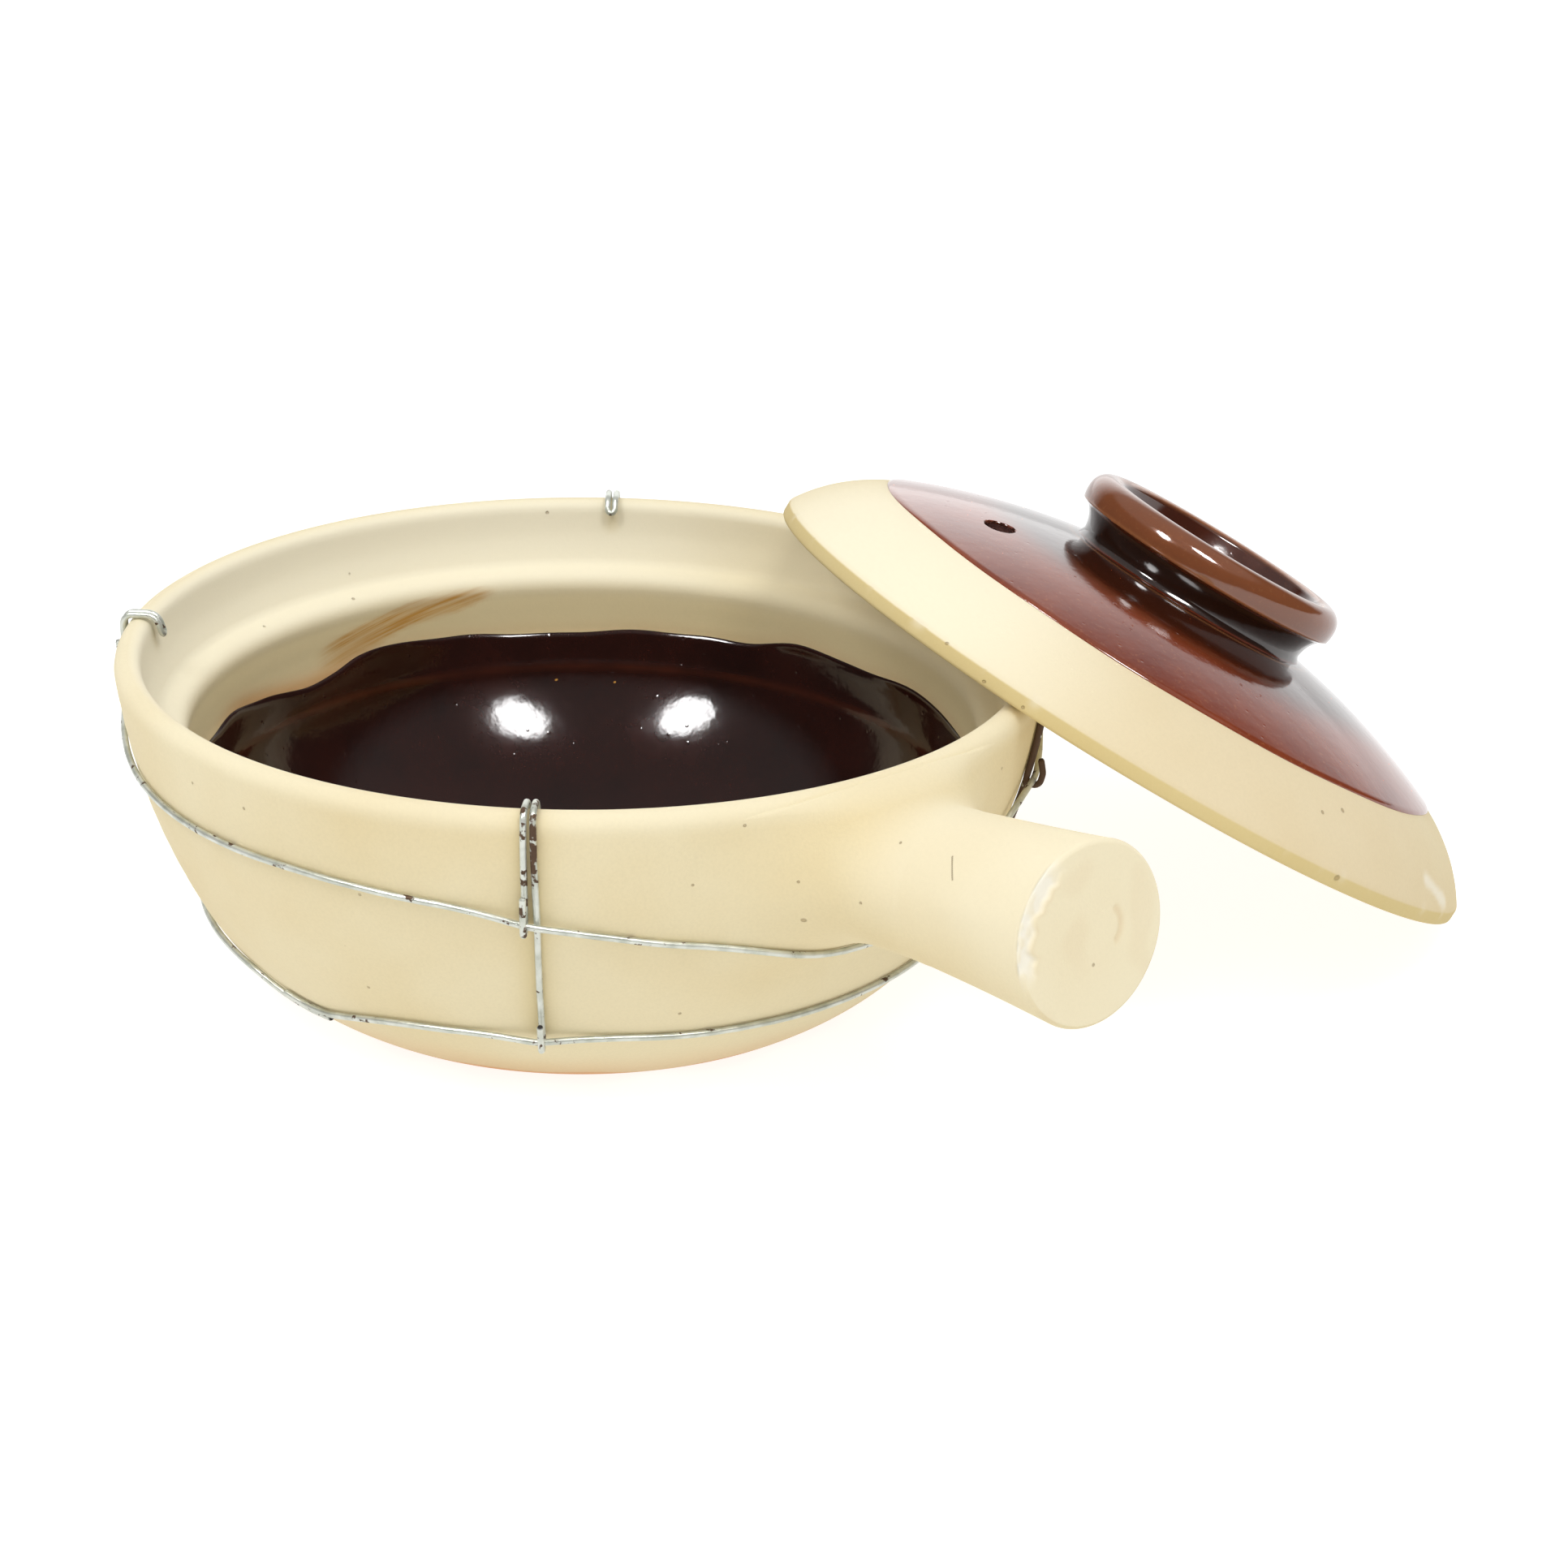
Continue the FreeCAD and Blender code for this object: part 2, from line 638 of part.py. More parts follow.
def pierced(body):
    """Cut the steam hole through a piece of the lid."""
    drill = attached_sketch(body, body.Name + "_steam", "XY_Plane")
    reach = size("steam_reach")
    bearing = radians(size("steam_bearing"))
    middle = FreeCAD.Vector(reach * cos(bearing), reach * sin(bearing), 0)
    radius = size("steam_hole") / 2
    drill.addGeometry(Part.Circle(middle, FreeCAD.Vector(0, 0, 1), radius), False)
    angle = "(Sizes.steam_bearing * 1 deg)"
    places = (("DistanceX", middle.x, "cos"), ("DistanceY", middle.y, "sin"))
    for kind, value, part in places:
        held = Sketcher.Constraint(kind, -1, 1, 0, 3, value)
        index = drill.addConstraint(held)
        drill.renameConstraint(index, kind)
        drill.setExpression(f"Constraints.{kind}", f"Sizes.steam_reach * {part}{angle}")
    index = drill.addConstraint(Sketcher.Constraint("Radius", 0, radius))
    drill.renameConstraint(index, "hole")
    drill.setExpression("Constraints.hole", "Sizes.steam_hole / 2")
    doc.recompute()
    solid = body.Shape.Volume
    hole = body.newObject("PartDesign::Pocket", body.Name + "_hole")
    hole.Profile = drill
    hole.Type = "ThroughAll"
    hole.Reversed = True
    drill.Visibility = False
    doc.recompute()
    print(body.Name, "steam hole takes", round(solid - body.Shape.Volume, 1), "cubic mm")
    return body


def make_lid_glaze():
    """The glaze over the dome, from the knob's foot out to the bare band."""
    body = turned_body("lid_glaze", [
        ("knob_foot", "knob_seat", "crown_curve", INWARD),
        ("band_radius", "band_height", "", STRAIGHT),
        ("band_radius", "band_glaze", "crown_curve glaze", OUTWARD),
        ("knob_foot", "knob_glaze", "", STRAIGHT),
    ])
    return pierced(body)


def make_lid_knob():
    """The ring knob: a waist under a thick rolled lip, hollow in the middle."""
    return turned_body("lid_knob", [
        ("", "crown_height", "crown_curve", INWARD),
        ("knob_foot", "knob_seat", "waist_curve", INWARD),
        ("knob_waist", "knob_waist_height", "flare_curve", INWARD),
        ("knob_under", "knob_under_height", "", STRAIGHT),
        ("knob_arris", "knob_arris_height", "lip_side_curve", OUTWARD),
        ("knob_lip", "knob_lip_height", "lip_top_curve", OUTWARD),
        ("knob_mouth", "knob_height -knob_mouth_fall", "well_curve", INWARD),
        ("knob_well", "knob_floor", "", STRAIGHT),
        ("", "knob_floor", "", STRAIGHT),
    ])


def lid_rise():
    """Height of the middle of the lid's ring when its low edge lies on the table."""
    tilt = radians(size("lid_tilt"))
    edge = size("lid_edge_round")
    return (size("lid_radius") - edge) * sin(tilt) + edge - edge * cos(tilt)


RIM_STEPS = 720
GUESS_LOW = 0.5
GUESS_HIGH = 2.5
HALVINGS = 40


def lip_at(bearing):
    """Radius of the rounded lip at a bearing, with the tie's wire where one rides over it."""
    tie_width = degrees((size("wire") + size("wire_gap")) / size("rim_radius"))
    apart = min(abs(either_side(bearing - rim_bearing)) for _, rim_bearing, _, _ in TIES)
    if apart > tie_width:
        return size("lip_round")
    return size("lip_round") + size("wire_gap") + size("wire")


def rim_clearance(reach):
    """Least gap between the lip and the ring under the lid, leaned at a reach."""
    tilt = radians(size("lid_tilt"))
    lip_radius = size("rim_radius") - size("lip_round")
    seat_inside = size("lid_radius") - size("lid_seat")
    seat_outside = size("lid_radius") - size("lid_edge_round")
    least = None
    for step in range(RIM_STEPS):
        bearing = FULL_TURN * step / RIM_STEPS
        angle = radians(bearing)
        along = lip_radius * cos(angle) - reach
        across = lip_radius * sin(angle)
        up = size("rim_height") - lid_rise()
        above = along * sin(tilt) + up * cos(tilt)
        down_slope = along * cos(tilt) - up * sin(tilt)
        radius = hypot(down_slope, across)
        past = max(seat_inside - radius, radius - seat_outside, 0.0)
        gap = hypot(past, above) - lip_at(bearing + size("lid_bearing"))
        if radius > seat_inside and above > 0:
            gap = -gap
        least = gap if least is None else min(least, gap)
    return least


def lid_reach():
    """How far out the leaning lid lies when its ring comes down onto the lip."""
    near = size("rim_radius") * GUESS_LOW
    far = size("rim_radius") * GUESS_HIGH
    for _ in range(HALVINGS):
        middle = (near + far) / 2
        if rim_clearance(middle) < size("rest_gap"):
            near = middle
        else:
            far = middle
    return far


def lean(piece, reach):
    """Lean a piece of the lid on the rim, its low edge on the table."""
    bearing = radians(size("lid_bearing"))
    upright = FreeCAD.Rotation(FreeCAD.Vector(0, 0, 1), size("lid_bearing"))
    tipped = FreeCAD.Rotation(FreeCAD.Vector(0, 1, 0), size("lid_tilt"))
    base = FreeCAD.Vector(reach * cos(bearing), reach * sin(bearing), lid_rise())
    piece.Placement = FreeCAD.Placement(base, upright * tipped)


envelope = make_pot_envelope()
pot_pieces = [make_pot_body(), make_inner_glaze(), make_handle(envelope)]
upper_crossings = [upper for _, _, upper, _ in TIES]
lower_crossings = [lower for _, _, _, lower in TIES]
pot_pieces.append(hoop("upper_hoop", upper_height, upper_crossings, UPPER_JOIN, ABOVE))
pot_pieces.append(hoop("lower_hoop", lower_height, lower_crossings, LOWER_JOIN, BELOW))
pot_pieces += [make_tie(*tie) for tie in TIES]
lid_pieces = [make_lid_body(), make_lid_glaze(), make_lid_knob()]
reach = lid_reach()
print("lid leans at", round(reach, 2), "from the pot's axis")
for piece in lid_pieces:
    lean(piece, reach)
doc.recompute()

pieces = pot_pieces + lid_pieces
for item in doc.Objects:
    if "Invalid" in item.State or "Error" in item.State:
        raise RuntimeError(f"{item.Name} did not build: {item.State}")
for piece in pieces:
    piece.Label = piece.Name
    if piece.Shape.isNull() or not piece.Shape.isValid():
        raise RuntimeError(f"{piece.Name} has no sound shape")

os.makedirs("parts", exist_ok=True)
for piece in pieces:
    piece.Shape.exportStep(f"parts/{piece.Label}.step")
    print(piece.Label, len(piece.Shape.Solids), "solid", round(piece.Shape.Volume), "cubic mm")
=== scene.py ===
# %% [markdown]
# # A clay cooking pot in a wire cage
# This lesson dresses a measured model of a small clay cooking pot. The clay is thrown on a wheel,
# so most pieces are outlines turned about an axis, with the small uneven places a hand leaves.
# The measured model comes first, and every piece made here rides on one of its bodies.

# %% Load the measured frame
import math

import bpy
import numpy as np
from mathutils import Matrix, Vector, noise


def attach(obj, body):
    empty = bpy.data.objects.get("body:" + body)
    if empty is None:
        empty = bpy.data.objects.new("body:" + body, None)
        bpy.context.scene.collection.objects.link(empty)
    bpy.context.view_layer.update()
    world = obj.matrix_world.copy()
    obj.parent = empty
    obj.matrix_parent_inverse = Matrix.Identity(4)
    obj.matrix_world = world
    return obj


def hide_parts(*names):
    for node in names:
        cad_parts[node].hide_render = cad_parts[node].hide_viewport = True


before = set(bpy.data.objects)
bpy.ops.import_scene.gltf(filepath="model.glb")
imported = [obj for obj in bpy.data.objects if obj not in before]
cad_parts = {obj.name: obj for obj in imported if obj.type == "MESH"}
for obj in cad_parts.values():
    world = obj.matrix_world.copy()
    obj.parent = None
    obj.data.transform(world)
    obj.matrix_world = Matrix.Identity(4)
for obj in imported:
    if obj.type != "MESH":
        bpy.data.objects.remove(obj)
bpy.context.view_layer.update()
MM = 0.001
print("nodes:", sorted(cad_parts))

# %% [markdown]
# ## The camera
# The pot was photographed from a little above the rim with a long lens. The place and the three
# directions of the camera come from fitting the rim, the foot and the handle, so they are written
# as they were found. A long lens keeps the two sides of the rim nearly parallel.

# %% Place the camera
SENSOR = 36.0
LENS = 95.77
NEAREST, FARTHEST = 0.01, 50.0
CAMERA_PLACE = Vector((0.6692, -0.5135, 0.3820))
CAMERA_RIGHT = Vector((0.6437, 0.7652, 0.0167))
CAMERA_DOWN = Vector((0.2968, -0.2294, -0.9270))

right = CAMERA_RIGHT.normalized()
back = right.cross(-CAMERA_DOWN).normalized()
up = back.cross(right)
camera = bpy.data.objects.new("camera", bpy.data.cameras.new("camera"))
bpy.context.scene.collection.objects.link(camera)
turned = Matrix((right, up, back)).transposed().to_4x4()
camera.matrix_world = Matrix.Translation(CAMERA_PLACE) @ turned
camera.data.sensor_width = SENSOR
camera.data.lens = LENS
camera.data.clip_start, camera.data.clip_end = NEAREST, FARTHEST
bpy.context.scene.camera = camera
print("camera looks along", [round(x, 3) for x in -back])

# %% [markdown]
# ## Small helpers for materials
# Every finish below is a chain of procedural nodes. This helper adds a node, sets its sockets by
# name and links those whose value is another node's output, so a material reads like a recipe.

# %% Start a material and add nodes
def new_finish(name):
    """A new material with its shader, and the tree that the recipe is written in."""
    finish = bpy.data.materials.new(name)
    finish.use_nodes = True
    tree = finish.node_tree
    shader = tree.nodes["Principled BSDF"]
    return finish, tree, shader


def add(tree, kind, settings=None, **sockets):
    """Add a node, set its settings, then set or link its sockets by name or, as _0, by place."""
    made = tree.nodes.new("ShaderNode" + kind)
    for name, value in (settings or {}).items():
        setattr(made, name, value)
    for name, value in sockets.items():
        key = int(name[1:]) if name.startswith("_") else name.replace("_", " ")
        socket = made.inputs[key]
        if isinstance(value, bpy.types.NodeSocket):
            tree.links.new(value, socket)
        else:
            socket.default_value = value
    return made


print("materials can be started")

# %% [markdown]
# ## Colours and numbers in a recipe
# A colour ramp turns noise into a colour or a grey, a mix lays one colour over another, and a Math
# node does one step of arithmetic. With these three, a recipe needs no other kinds of node for its
# colours. Colours are written as they are read off a screen and made linear, because a shader
# works with linear light.

# %% Helpers for colours and numbers
def ramp(tree, value, stops):
    """A colour ramp from (place, colour) stops; a number stands for a grey."""
    made = add(tree, "ValToRGB", Fac=value)
    band = made.color_ramp
    while len(band.elements) < len(stops):
        band.elements.new(1.0)
    for element, (place, colour) in zip(band.elements, stops):
        colour = colour if hasattr(colour, "__len__") else (colour, colour, colour)
        element.position = place
        element.color = (*colour, 1.0)
    return made.outputs["Color"]


def blend_colours(tree, share, first, second, mode="MIX"):
    """Mix two colours, or multiply or darken one by the other."""
    made = add(tree, "Mix", {"data_type": "RGBA", "blend_type": mode})
    for number, value in ((0, share), (6, first), (7, second)):
        socket = made.inputs[number]
        if isinstance(value, bpy.types.NodeSocket):
            tree.links.new(value, socket)
        else:
            socket.default_value = value if number == 0 else (*value, 1.0)
    return made.outputs[2]


def sum_of(tree, operation, first, second, clamp=False):
    """One arithmetic step between two numbers."""
    settings = {"operation": operation, "use_clamp": clamp}
    return add(tree, "Math", settings, _0=first, _1=second).outputs[0]


def srgb(red, green, blue):
    """A colour as it is read off a screen, 0 to 255, made linear."""
    def line(value):
        value /= 255.0
        return value / 12.92 if value <= 0.04045 else ((value + 0.055) / 1.055) ** 2.4
    return (line(red), line(green), line(blue))


print("a middle grey is", round(srgb(128, 128, 128)[0], 3), "in linear light")

# %% [markdown]
# ## Marks that belong to one place
# Some marks of the real pot sit at one place only. A wide one is painted on the mesh as a number
# for each point, and the material reads it by name. A small one, such as a pit, is a soft spot
# round a place that is written down in millimetres.

# %% Helpers for places
SPOT_CORE = 0.55


def painted(tree, name):
    """The number that was painted on the mesh under a name."""
    return add(tree, "Attribute", {"attribute_name": name}).outputs["Fac"]


def along_way(tree, place, way):
    """How far a place lies along a direction."""
    return add(tree, "VectorMath", {"operation": "DOT_PRODUCT"}, _0=place, _1=way).outputs["Value"]


def spot(tree, place, middle, size):
    """A soft-edged spot of a size in millimetres round a place in millimetres."""
    from_middle = add(tree, "VectorMath", {"operation": "SUBTRACT"}, _0=place,
                      _1=[value * MM for value in middle]).outputs["Vector"]
    scaled = add(tree, "VectorMath", {"operation": "MULTIPLY"}, _0=from_middle,
                 _1=[1.0 / (value * MM) for value in size]).outputs["Vector"]
    length = add(tree, "VectorMath", {"operation": "LENGTH"}, _0=scaled).outputs["Value"]
    return ramp(tree, length, [(SPOT_CORE, 1.0), (1.0, 0.0)])


def spots(tree, place, marks):
    """All the spots of a list of (middle, size) together."""
    total = 0.0
    for middle, size in marks:
        total = sum_of(tree, "MAXIMUM", total, spot(tree, place, middle, size))
    return total


print("helpers ready")

# %% [markdown]
# ## The clay
# The body is a pale, fine clay that is left bare, so it is matt and drinks in light. Its colour
# drifts from cream to straw over a few centimetres, with a few pinholes in it, and the foot is
# toasted orange where it stood in the kiln. Noise gives the drift, the fine sand and the pinholes.
# What belongs to one place, such as a scuff or a rust stain, is painted on the mesh, or is a small
# spot whose place is written down. Painted light and painted shade are laid on the mesh the same
# way: paler clay where light falls, and yellower, darker clay in shade.

# %% Mix the clay
CREAM = srgb(232, 218, 179)
STRAW = srgb(225, 206, 159)
CHALK = srgb(247, 243, 230)
GRAIN = srgb(140, 112, 70)
# What is painted on the mesh: its name, its colour and how much of it shows at most. The first
# entry is painted light; the third is rust, a yellower edge and painted shade.
PAINTS = (
    ("pale", srgb(250, 242, 216), 0.92),
    ("rosy", srgb(222, 205, 178), 0.85),
    ("yellowed", srgb(208, 186, 124), 0.9),
    ("toasted", srgb(222, 158, 104), 0.8),
    ("stained", srgb(196, 150, 92), 0.6),
    ("seeped", srgb(186, 128, 68), 0.75),
    ("scuffed", CHALK, 0.9),
    ("glazed", srgb(48, 18, 10), 1.0),
)
BRUSHED = srgb(192, 140, 62)
# Brush strokes run along one direction, with so many noise features to a metre each way.
STROKE_ALONG, STROKES_ALONG = (0.190, 0.950, 0.250), 40.0
STROKE_ACROSS, STROKES_ACROSS = (-0.049, -0.245, 0.968), 1300.0
PIT_DARKNESS = 0.5
# Pits and dents of the bare clay: the middle, then the half sizes along the three axes, in mm.
PITS = [
    ((94.2, -33.0, 70.3), (0.4, 0.4, 0.4)), ((115.3, -11.1, 68.0), (0.35, 0.35, 0.35)),
    ((99.4, -21.8, 48.9), (0.7, 0.7, 0.6)), ((88.6, -41.3, 57.9), (0.35, 0.35, 0.35)),
    ((111.4, -17.6, 55.6), (0.35, 0.35, 0.35)), ((100.2, -24.1, 58.0), (0.35, 0.35, 0.35)),
    ((77.7, -35.5, 24.5), (0.4, 0.4, 0.4)), ((-79.7, 50.3, 71.7), (0.45, 0.45, 0.45)),
    ((-87.1, -0.2, 59.0), (0.45, 0.45, 0.45)), ((82.1, 40.9, 79.6), (0.5, 0.5, 0.4)),
    ((71.7, 39.8, 85.2), (0.5, 0.5, 0.4)), ((90.9, 43.9, 75.9), (0.45, 0.45, 0.4)),
    ((126.6, 97.8, 50.6), (0.5, 0.5, 0.5)), ((125.7, 105.1, 48.9), (0.6, 0.6, 0.6)),
    ((133.7, 95.7, 38.6), (0.9, 0.9, 0.7)),
]
# A hairline crack in the handle, as a row of small spots between its two ends.
CRACK_FROM, CRACK_TO = (130.5, -11.4, 70.2), (133.8, -14.3, 67.4)
CRACK_SPOTS, CRACK_SPOT = 12, (0.24, 0.24, 0.3)
for step in range(CRACK_SPOTS):
    PITS.append((tuple(a + (b - a) * step / (CRACK_SPOTS - 1)
                       for a, b in zip(CRACK_FROM, CRACK_TO)), CRACK_SPOT))


def make_clay():
    """Bare clay: drifting cream, fine sand, pinholes, stains and brush strokes."""
    finish, tree, shader = new_finish("bare_clay")
    place = add(tree, "TexCoord").outputs["Object"]
    drift = add(tree, "TexNoise", Vector=place, Scale=20.0, Detail=3.0, Roughness=0.5)
    colour = ramp(tree, drift.outputs["Fac"], [(0.34, STRAW), (0.66, CREAM)])
    sand = add(tree, "TexNoise", Vector=place, Scale=1500.0, Detail=2.0, Roughness=0.6)
    sandy = ramp(tree, sand.outputs["Fac"], [(0.30, 0.965), (0.62, 1.0)])
    colour = blend_colours(tree, 1.0, colour, sandy, "MULTIPLY")

    # What is painted by name lies over the clay's own colour; some of it is painted light and
    # shade.
    for name, paint, most in PAINTS:
        share = sum_of(tree, "MULTIPLY", painted(tree, name), most)
        colour = blend_colours(tree, share, colour, paint)

    # Brush strokes of thin slip: noise drawn out along the strokes.
    along = sum_of(tree, "MULTIPLY", along_way(tree, place, STROKE_ALONG), STROKES_ALONG)
    across = sum_of(tree, "MULTIPLY", along_way(tree, place, STROKE_ACROSS), STROKES_ACROSS)
    drawn = add(tree, "CombineXYZ", X=along, Y=across).outputs["Vector"]
    bristles = add(tree, "TexNoise", Vector=drawn, Scale=1.0, Detail=3.0, Roughness=0.6)
    lines = ramp(tree, bristles.outputs["Fac"], [(0.42, 0.45), (0.62, 0.95)])
    stroke = sum_of(tree, "MULTIPLY", lines, painted(tree, "brushed"))
    colour = blend_colours(tree, stroke, colour, BRUSHED)

    # Pinholes: one per cell, and only in the cells whose random colour is high.
    cells = add(tree, "TexVoronoi", Vector=place, Scale=120.0, Randomness=1.0)
    near = ramp(tree, cells.outputs["Distance"], [(0.022, 1.0), (0.050, 0.0)])
    chosen = add(tree, "SeparateColor", Color=cells.outputs["Color"])
    some = ramp(tree, chosen.outputs["Red"], [(0.86, 0.0), (0.88, 1.0)])
    holes = sum_of(tree, "MULTIPLY", near, some)
    holes = sum_of(tree, "MAXIMUM", holes, spots(tree, place, PITS))
    dark = sum_of(tree, "MULTIPLY", holes, PIT_DARKNESS)
    colour = blend_colours(tree, dark, colour, GRAIN)
    tree.links.new(colour, shader.inputs["Base Color"])

    dry = ramp(tree, sand.outputs["Fac"], [(0.3, 0.92), (0.7, 0.78)])
    tree.links.new(dry, shader.inputs["Roughness"])
    shader.inputs["Specular IOR Level"].default_value = 0.3
    grit = add(tree, "Bump", Height=sand.outputs["Fac"], Strength=0.10, Distance=0.0002)
    dents = add(tree, "Bump", {"invert": True}, Height=holes, Strength=0.8, Distance=0.0004,
                Normal=grit.outputs["Normal"])
    tree.links.new(dents.outputs["Normal"], shader.inputs["Normal"])
    return finish


clay = make_clay()
print("clay has", len(clay.node_tree.nodes), "nodes")

# %% [markdown]
# ## The two glazes
# Inside the bowl the glaze is almost black and as smooth as glass. The lid's glaze is a red-brown
# that breaks lighter where it runs thin over an edge and pools dark in the hollows; on the knob
# the lighter crest is also a painted highlight, and the dark hollows are also painted shade. Both
# carry tiny craters where bubbles burst, and those craters break up the edges of the highlights.
# What looks like a pale cloud on the dome is the white backdrop, mirrored at a low angle.

# %% Mix the glazes
def make_glaze(name, base, cloudy, pooled, thin, freckled, gloss, index, marks=()):
    """A glaze darkened by pooling and painted shade, lightened by thin spots and painted
    highlights.

    The gloss gives the least and the most roughness, and marks are spots of bare clay.
    """
    finish, tree, shader = new_finish(name)
    place = add(tree, "TexCoord").outputs["Object"]
    cloud = add(tree, "TexNoise", Vector=place, Scale=45.0, Detail=4.0, Roughness=0.6)
    colour = ramp(tree, cloud.outputs["Fac"], [(0.32, cloudy), (0.62, base)])
    speck = add(tree, "TexNoise", Vector=place, Scale=1100.0, Detail=2.0)
    freckle = ramp(tree, speck.outputs["Fac"], [(0.60, 0.0), (0.74, 1.0)])
    colour = blend_colours(tree, sum_of(tree, "MULTIPLY", freckle, freckled), colour, thin)
    # Pooled glaze and painted shade darken; thin glaze and painted highlights lighten.
    for attribute, paint in (("pooled", pooled), ("thin", thin)):
        colour = blend_colours(tree, painted(tree, attribute), colour, paint)
    if marks:
        colour = blend_colours(tree, spots(tree, place, marks), colour, BRUSHED)
    tree.links.new(colour, shader.inputs["Base Color"])
    smooth, rough = gloss
    dullness = ramp(tree, cloud.outputs["Fac"], [(0.3, smooth), (0.75, rough)])
    tree.links.new(dullness, shader.inputs["Roughness"])
    shader.inputs["IOR"].default_value = index
    cells = add(tree, "TexVoronoi", Vector=place, Scale=520.0, Randomness=1.0)
    crater = ramp(tree, cells.outputs["Distance"], [(0.08, 1.0), (0.26, 0.0)])
    chosen = add(tree, "SeparateColor", Color=cells.outputs["Color"])
    some = ramp(tree, chosen.outputs["Green"], [(0.90, 0.0), (0.94, 1.0)])
    craters = sum_of(tree, "MULTIPLY", crater, some)
    peel = add(tree, "TexNoise", Vector=place, Scale=300.0, Detail=2.0)
    skin = add(tree, "Bump", Height=peel.outputs["Fac"], Strength=0.08, Distance=0.0005)
    pits = add(tree, "Bump", {"invert": True}, Height=craters, Strength=0.2, Distance=0.0002,
               Normal=skin.outputs["Normal"])
    tree.links.new(pits.outputs["Normal"], shader.inputs["Normal"])
    return finish


# Two tiny places on the inner wall where the glaze crawled off the clay.
BARE_MARKS = [((-66.3, 42.6, 35.4), (0.3, 0.6, 0.3)), ((-57.7, 53.4, 34.9), (0.3, 0.5, 0.3))]
dark_glaze = make_glaze("dark_glaze", base=srgb(44, 17, 11), cloudy=srgb(33, 13, 9),
                        pooled=srgb(24, 9, 7), thin=srgb(104, 48, 22), freckled=0.03,
                        gloss=(0.09, 0.13), index=1.42, marks=BARE_MARKS)
brown_glaze = make_glaze("brown_glaze", base=srgb(132, 56, 27), cloudy=srgb(112, 42, 20),
                         pooled=srgb(36, 18, 10), thin=srgb(206, 140, 88), freckled=0.16,
                         gloss=(0.08, 0.14), index=1.7)
print("glazes ready")

# %% [markdown]
# ## The galvanised wire
# The cage is soft iron wire dipped in zinc. Zinc stays pale and smooth, and where it was bent or
# rubbed the iron shows through in small dark brown spots. The spots are a thresholded noise, and
# they come thicker where the mesh is painted as rubbed; on the tie in the lid's shade that paint
# is also painted shade. The cut ends are bare, dark iron.

# %% Mix the wire's finish
ZINC = srgb(214, 217, 208)
ZINC_SHADE = srgb(186, 190, 178)
RUST = srgb(84, 62, 44)
CUT_IRON = srgb(38, 33, 30)
WEAR_REACH = 0.50


def make_wire_finish():
    """Pale zinc on iron wire, rubbed through to dark spots."""
    finish, tree, shader = new_finish("galvanised_wire")
    place = add(tree, "TexCoord").outputs["Object"]
    cloud = add(tree, "TexNoise", Vector=place, Scale=260.0, Detail=3.0, Roughness=0.5)
    colour = ramp(tree, cloud.outputs["Fac"], [(0.35, ZINC_SHADE), (0.6, ZINC)])
    mottle = add(tree, "TexNoise", Vector=place, Scale=330.0, Detail=3.0, Roughness=0.6)
    # The rubbed paint brings on the spots; on the tie in the lid's shade it is also painted shade.
    rubbed = sum_of(tree, "MULTIPLY", painted(tree, "rubbed"), WEAR_REACH)
    worn = sum_of(tree, "ADD", mottle.outputs["Fac"], rubbed)
    worn = ramp(tree, worn, [(0.69, 0.0), (0.73, 1.0)])
    colour = blend_colours(tree, worn, colour, RUST)
    bare = painted(tree, "cut_end")
    colour = blend_colours(tree, bare, colour, CUT_IRON)
    tree.links.new(colour, shader.inputs["Base Color"])
    dull = sum_of(tree, "MAXIMUM", worn, bare)
    tree.links.new(ramp(tree, dull, [(0.0, 0.45), (1.0, 0.1)]), shader.inputs["Metallic"])
    tree.links.new(ramp(tree, dull, [(0.0, 0.34), (1.0, 0.8)]), shader.inputs["Roughness"])
    bump = add(tree, "Bump", Height=cloud.outputs["Fac"], Strength=0.12, Distance=0.0002)
    tree.links.new(bump.outputs["Normal"], shader.inputs["Normal"])
    return finish


wire_finish = make_wire_finish()
print("wire finish ready")

# %% [markdown]
# ## Turning an outline on the wheel
# A thrown piece is an outline swept round an axis. The outline is written as corners, each with
# the curve of the edge that leaves it, as a potter's template would be cut. The outline is then
# divided into short steps and turned, and a relief function may push each point in or out along
# the surface, which is how throwing rings and dents get into the mesh itself.

# %% Divide an outline
RIGHT, LEFT = 1.0, -1.0


def divide(start, end, radius, side, step):
    """Points along one edge of an outline, straight or an arc, without its last point."""
    start, end = np.array(start, float), np.array(end, float)
    chord = end - start
    length = np.hypot(*chord)
    if radius is None:
        count = max(1, round(length / step))
        return start + (np.arange(count) / count)[:, None] * chord
    away = math.sqrt(radius * radius - length * length / 4)
    across = np.array((chord[1], -chord[0])) / length
    centre = (start + end) / 2 - across * side * away
    first = math.atan2(*(start - centre)[::-1])
    turn = math.atan2(*(end - centre)[::-1]) - first
    turn = (turn + math.pi) % (2 * math.pi) - math.pi
    count = max(3, round(abs(turn) * radius / step))
    angles = first + turn * np.arange(count) / count
    return centre + radius * np.stack((np.cos(angles), np.sin(angles)), 1)


def template(corners, step):
    """A whole outline from (radius, height, curve, side) corners, in millimetres."""
    parts = []
    for here, there in zip(corners, corners[1:]):
        parts.append(divide(here[:2], there[:2], here[2], here[3], step))
    parts.append(np.array([corners[-1][:2]], float))
    return np.concatenate(parts)


def outward(line):
    """Unit directions square to an outline, to the right of its travel."""
    along = np.gradient(line, axis=0)
    along /= np.maximum(np.hypot(along[:, 0], along[:, 1]), 1e-9)[:, None]
    return np.stack((along[:, 1], -along[:, 0]), 1)


print("a quarter turn of radius 10 in steps of 4 has",
      len(divide((10, 0), (0, 10), 10, LEFT, 4.0)), "points")

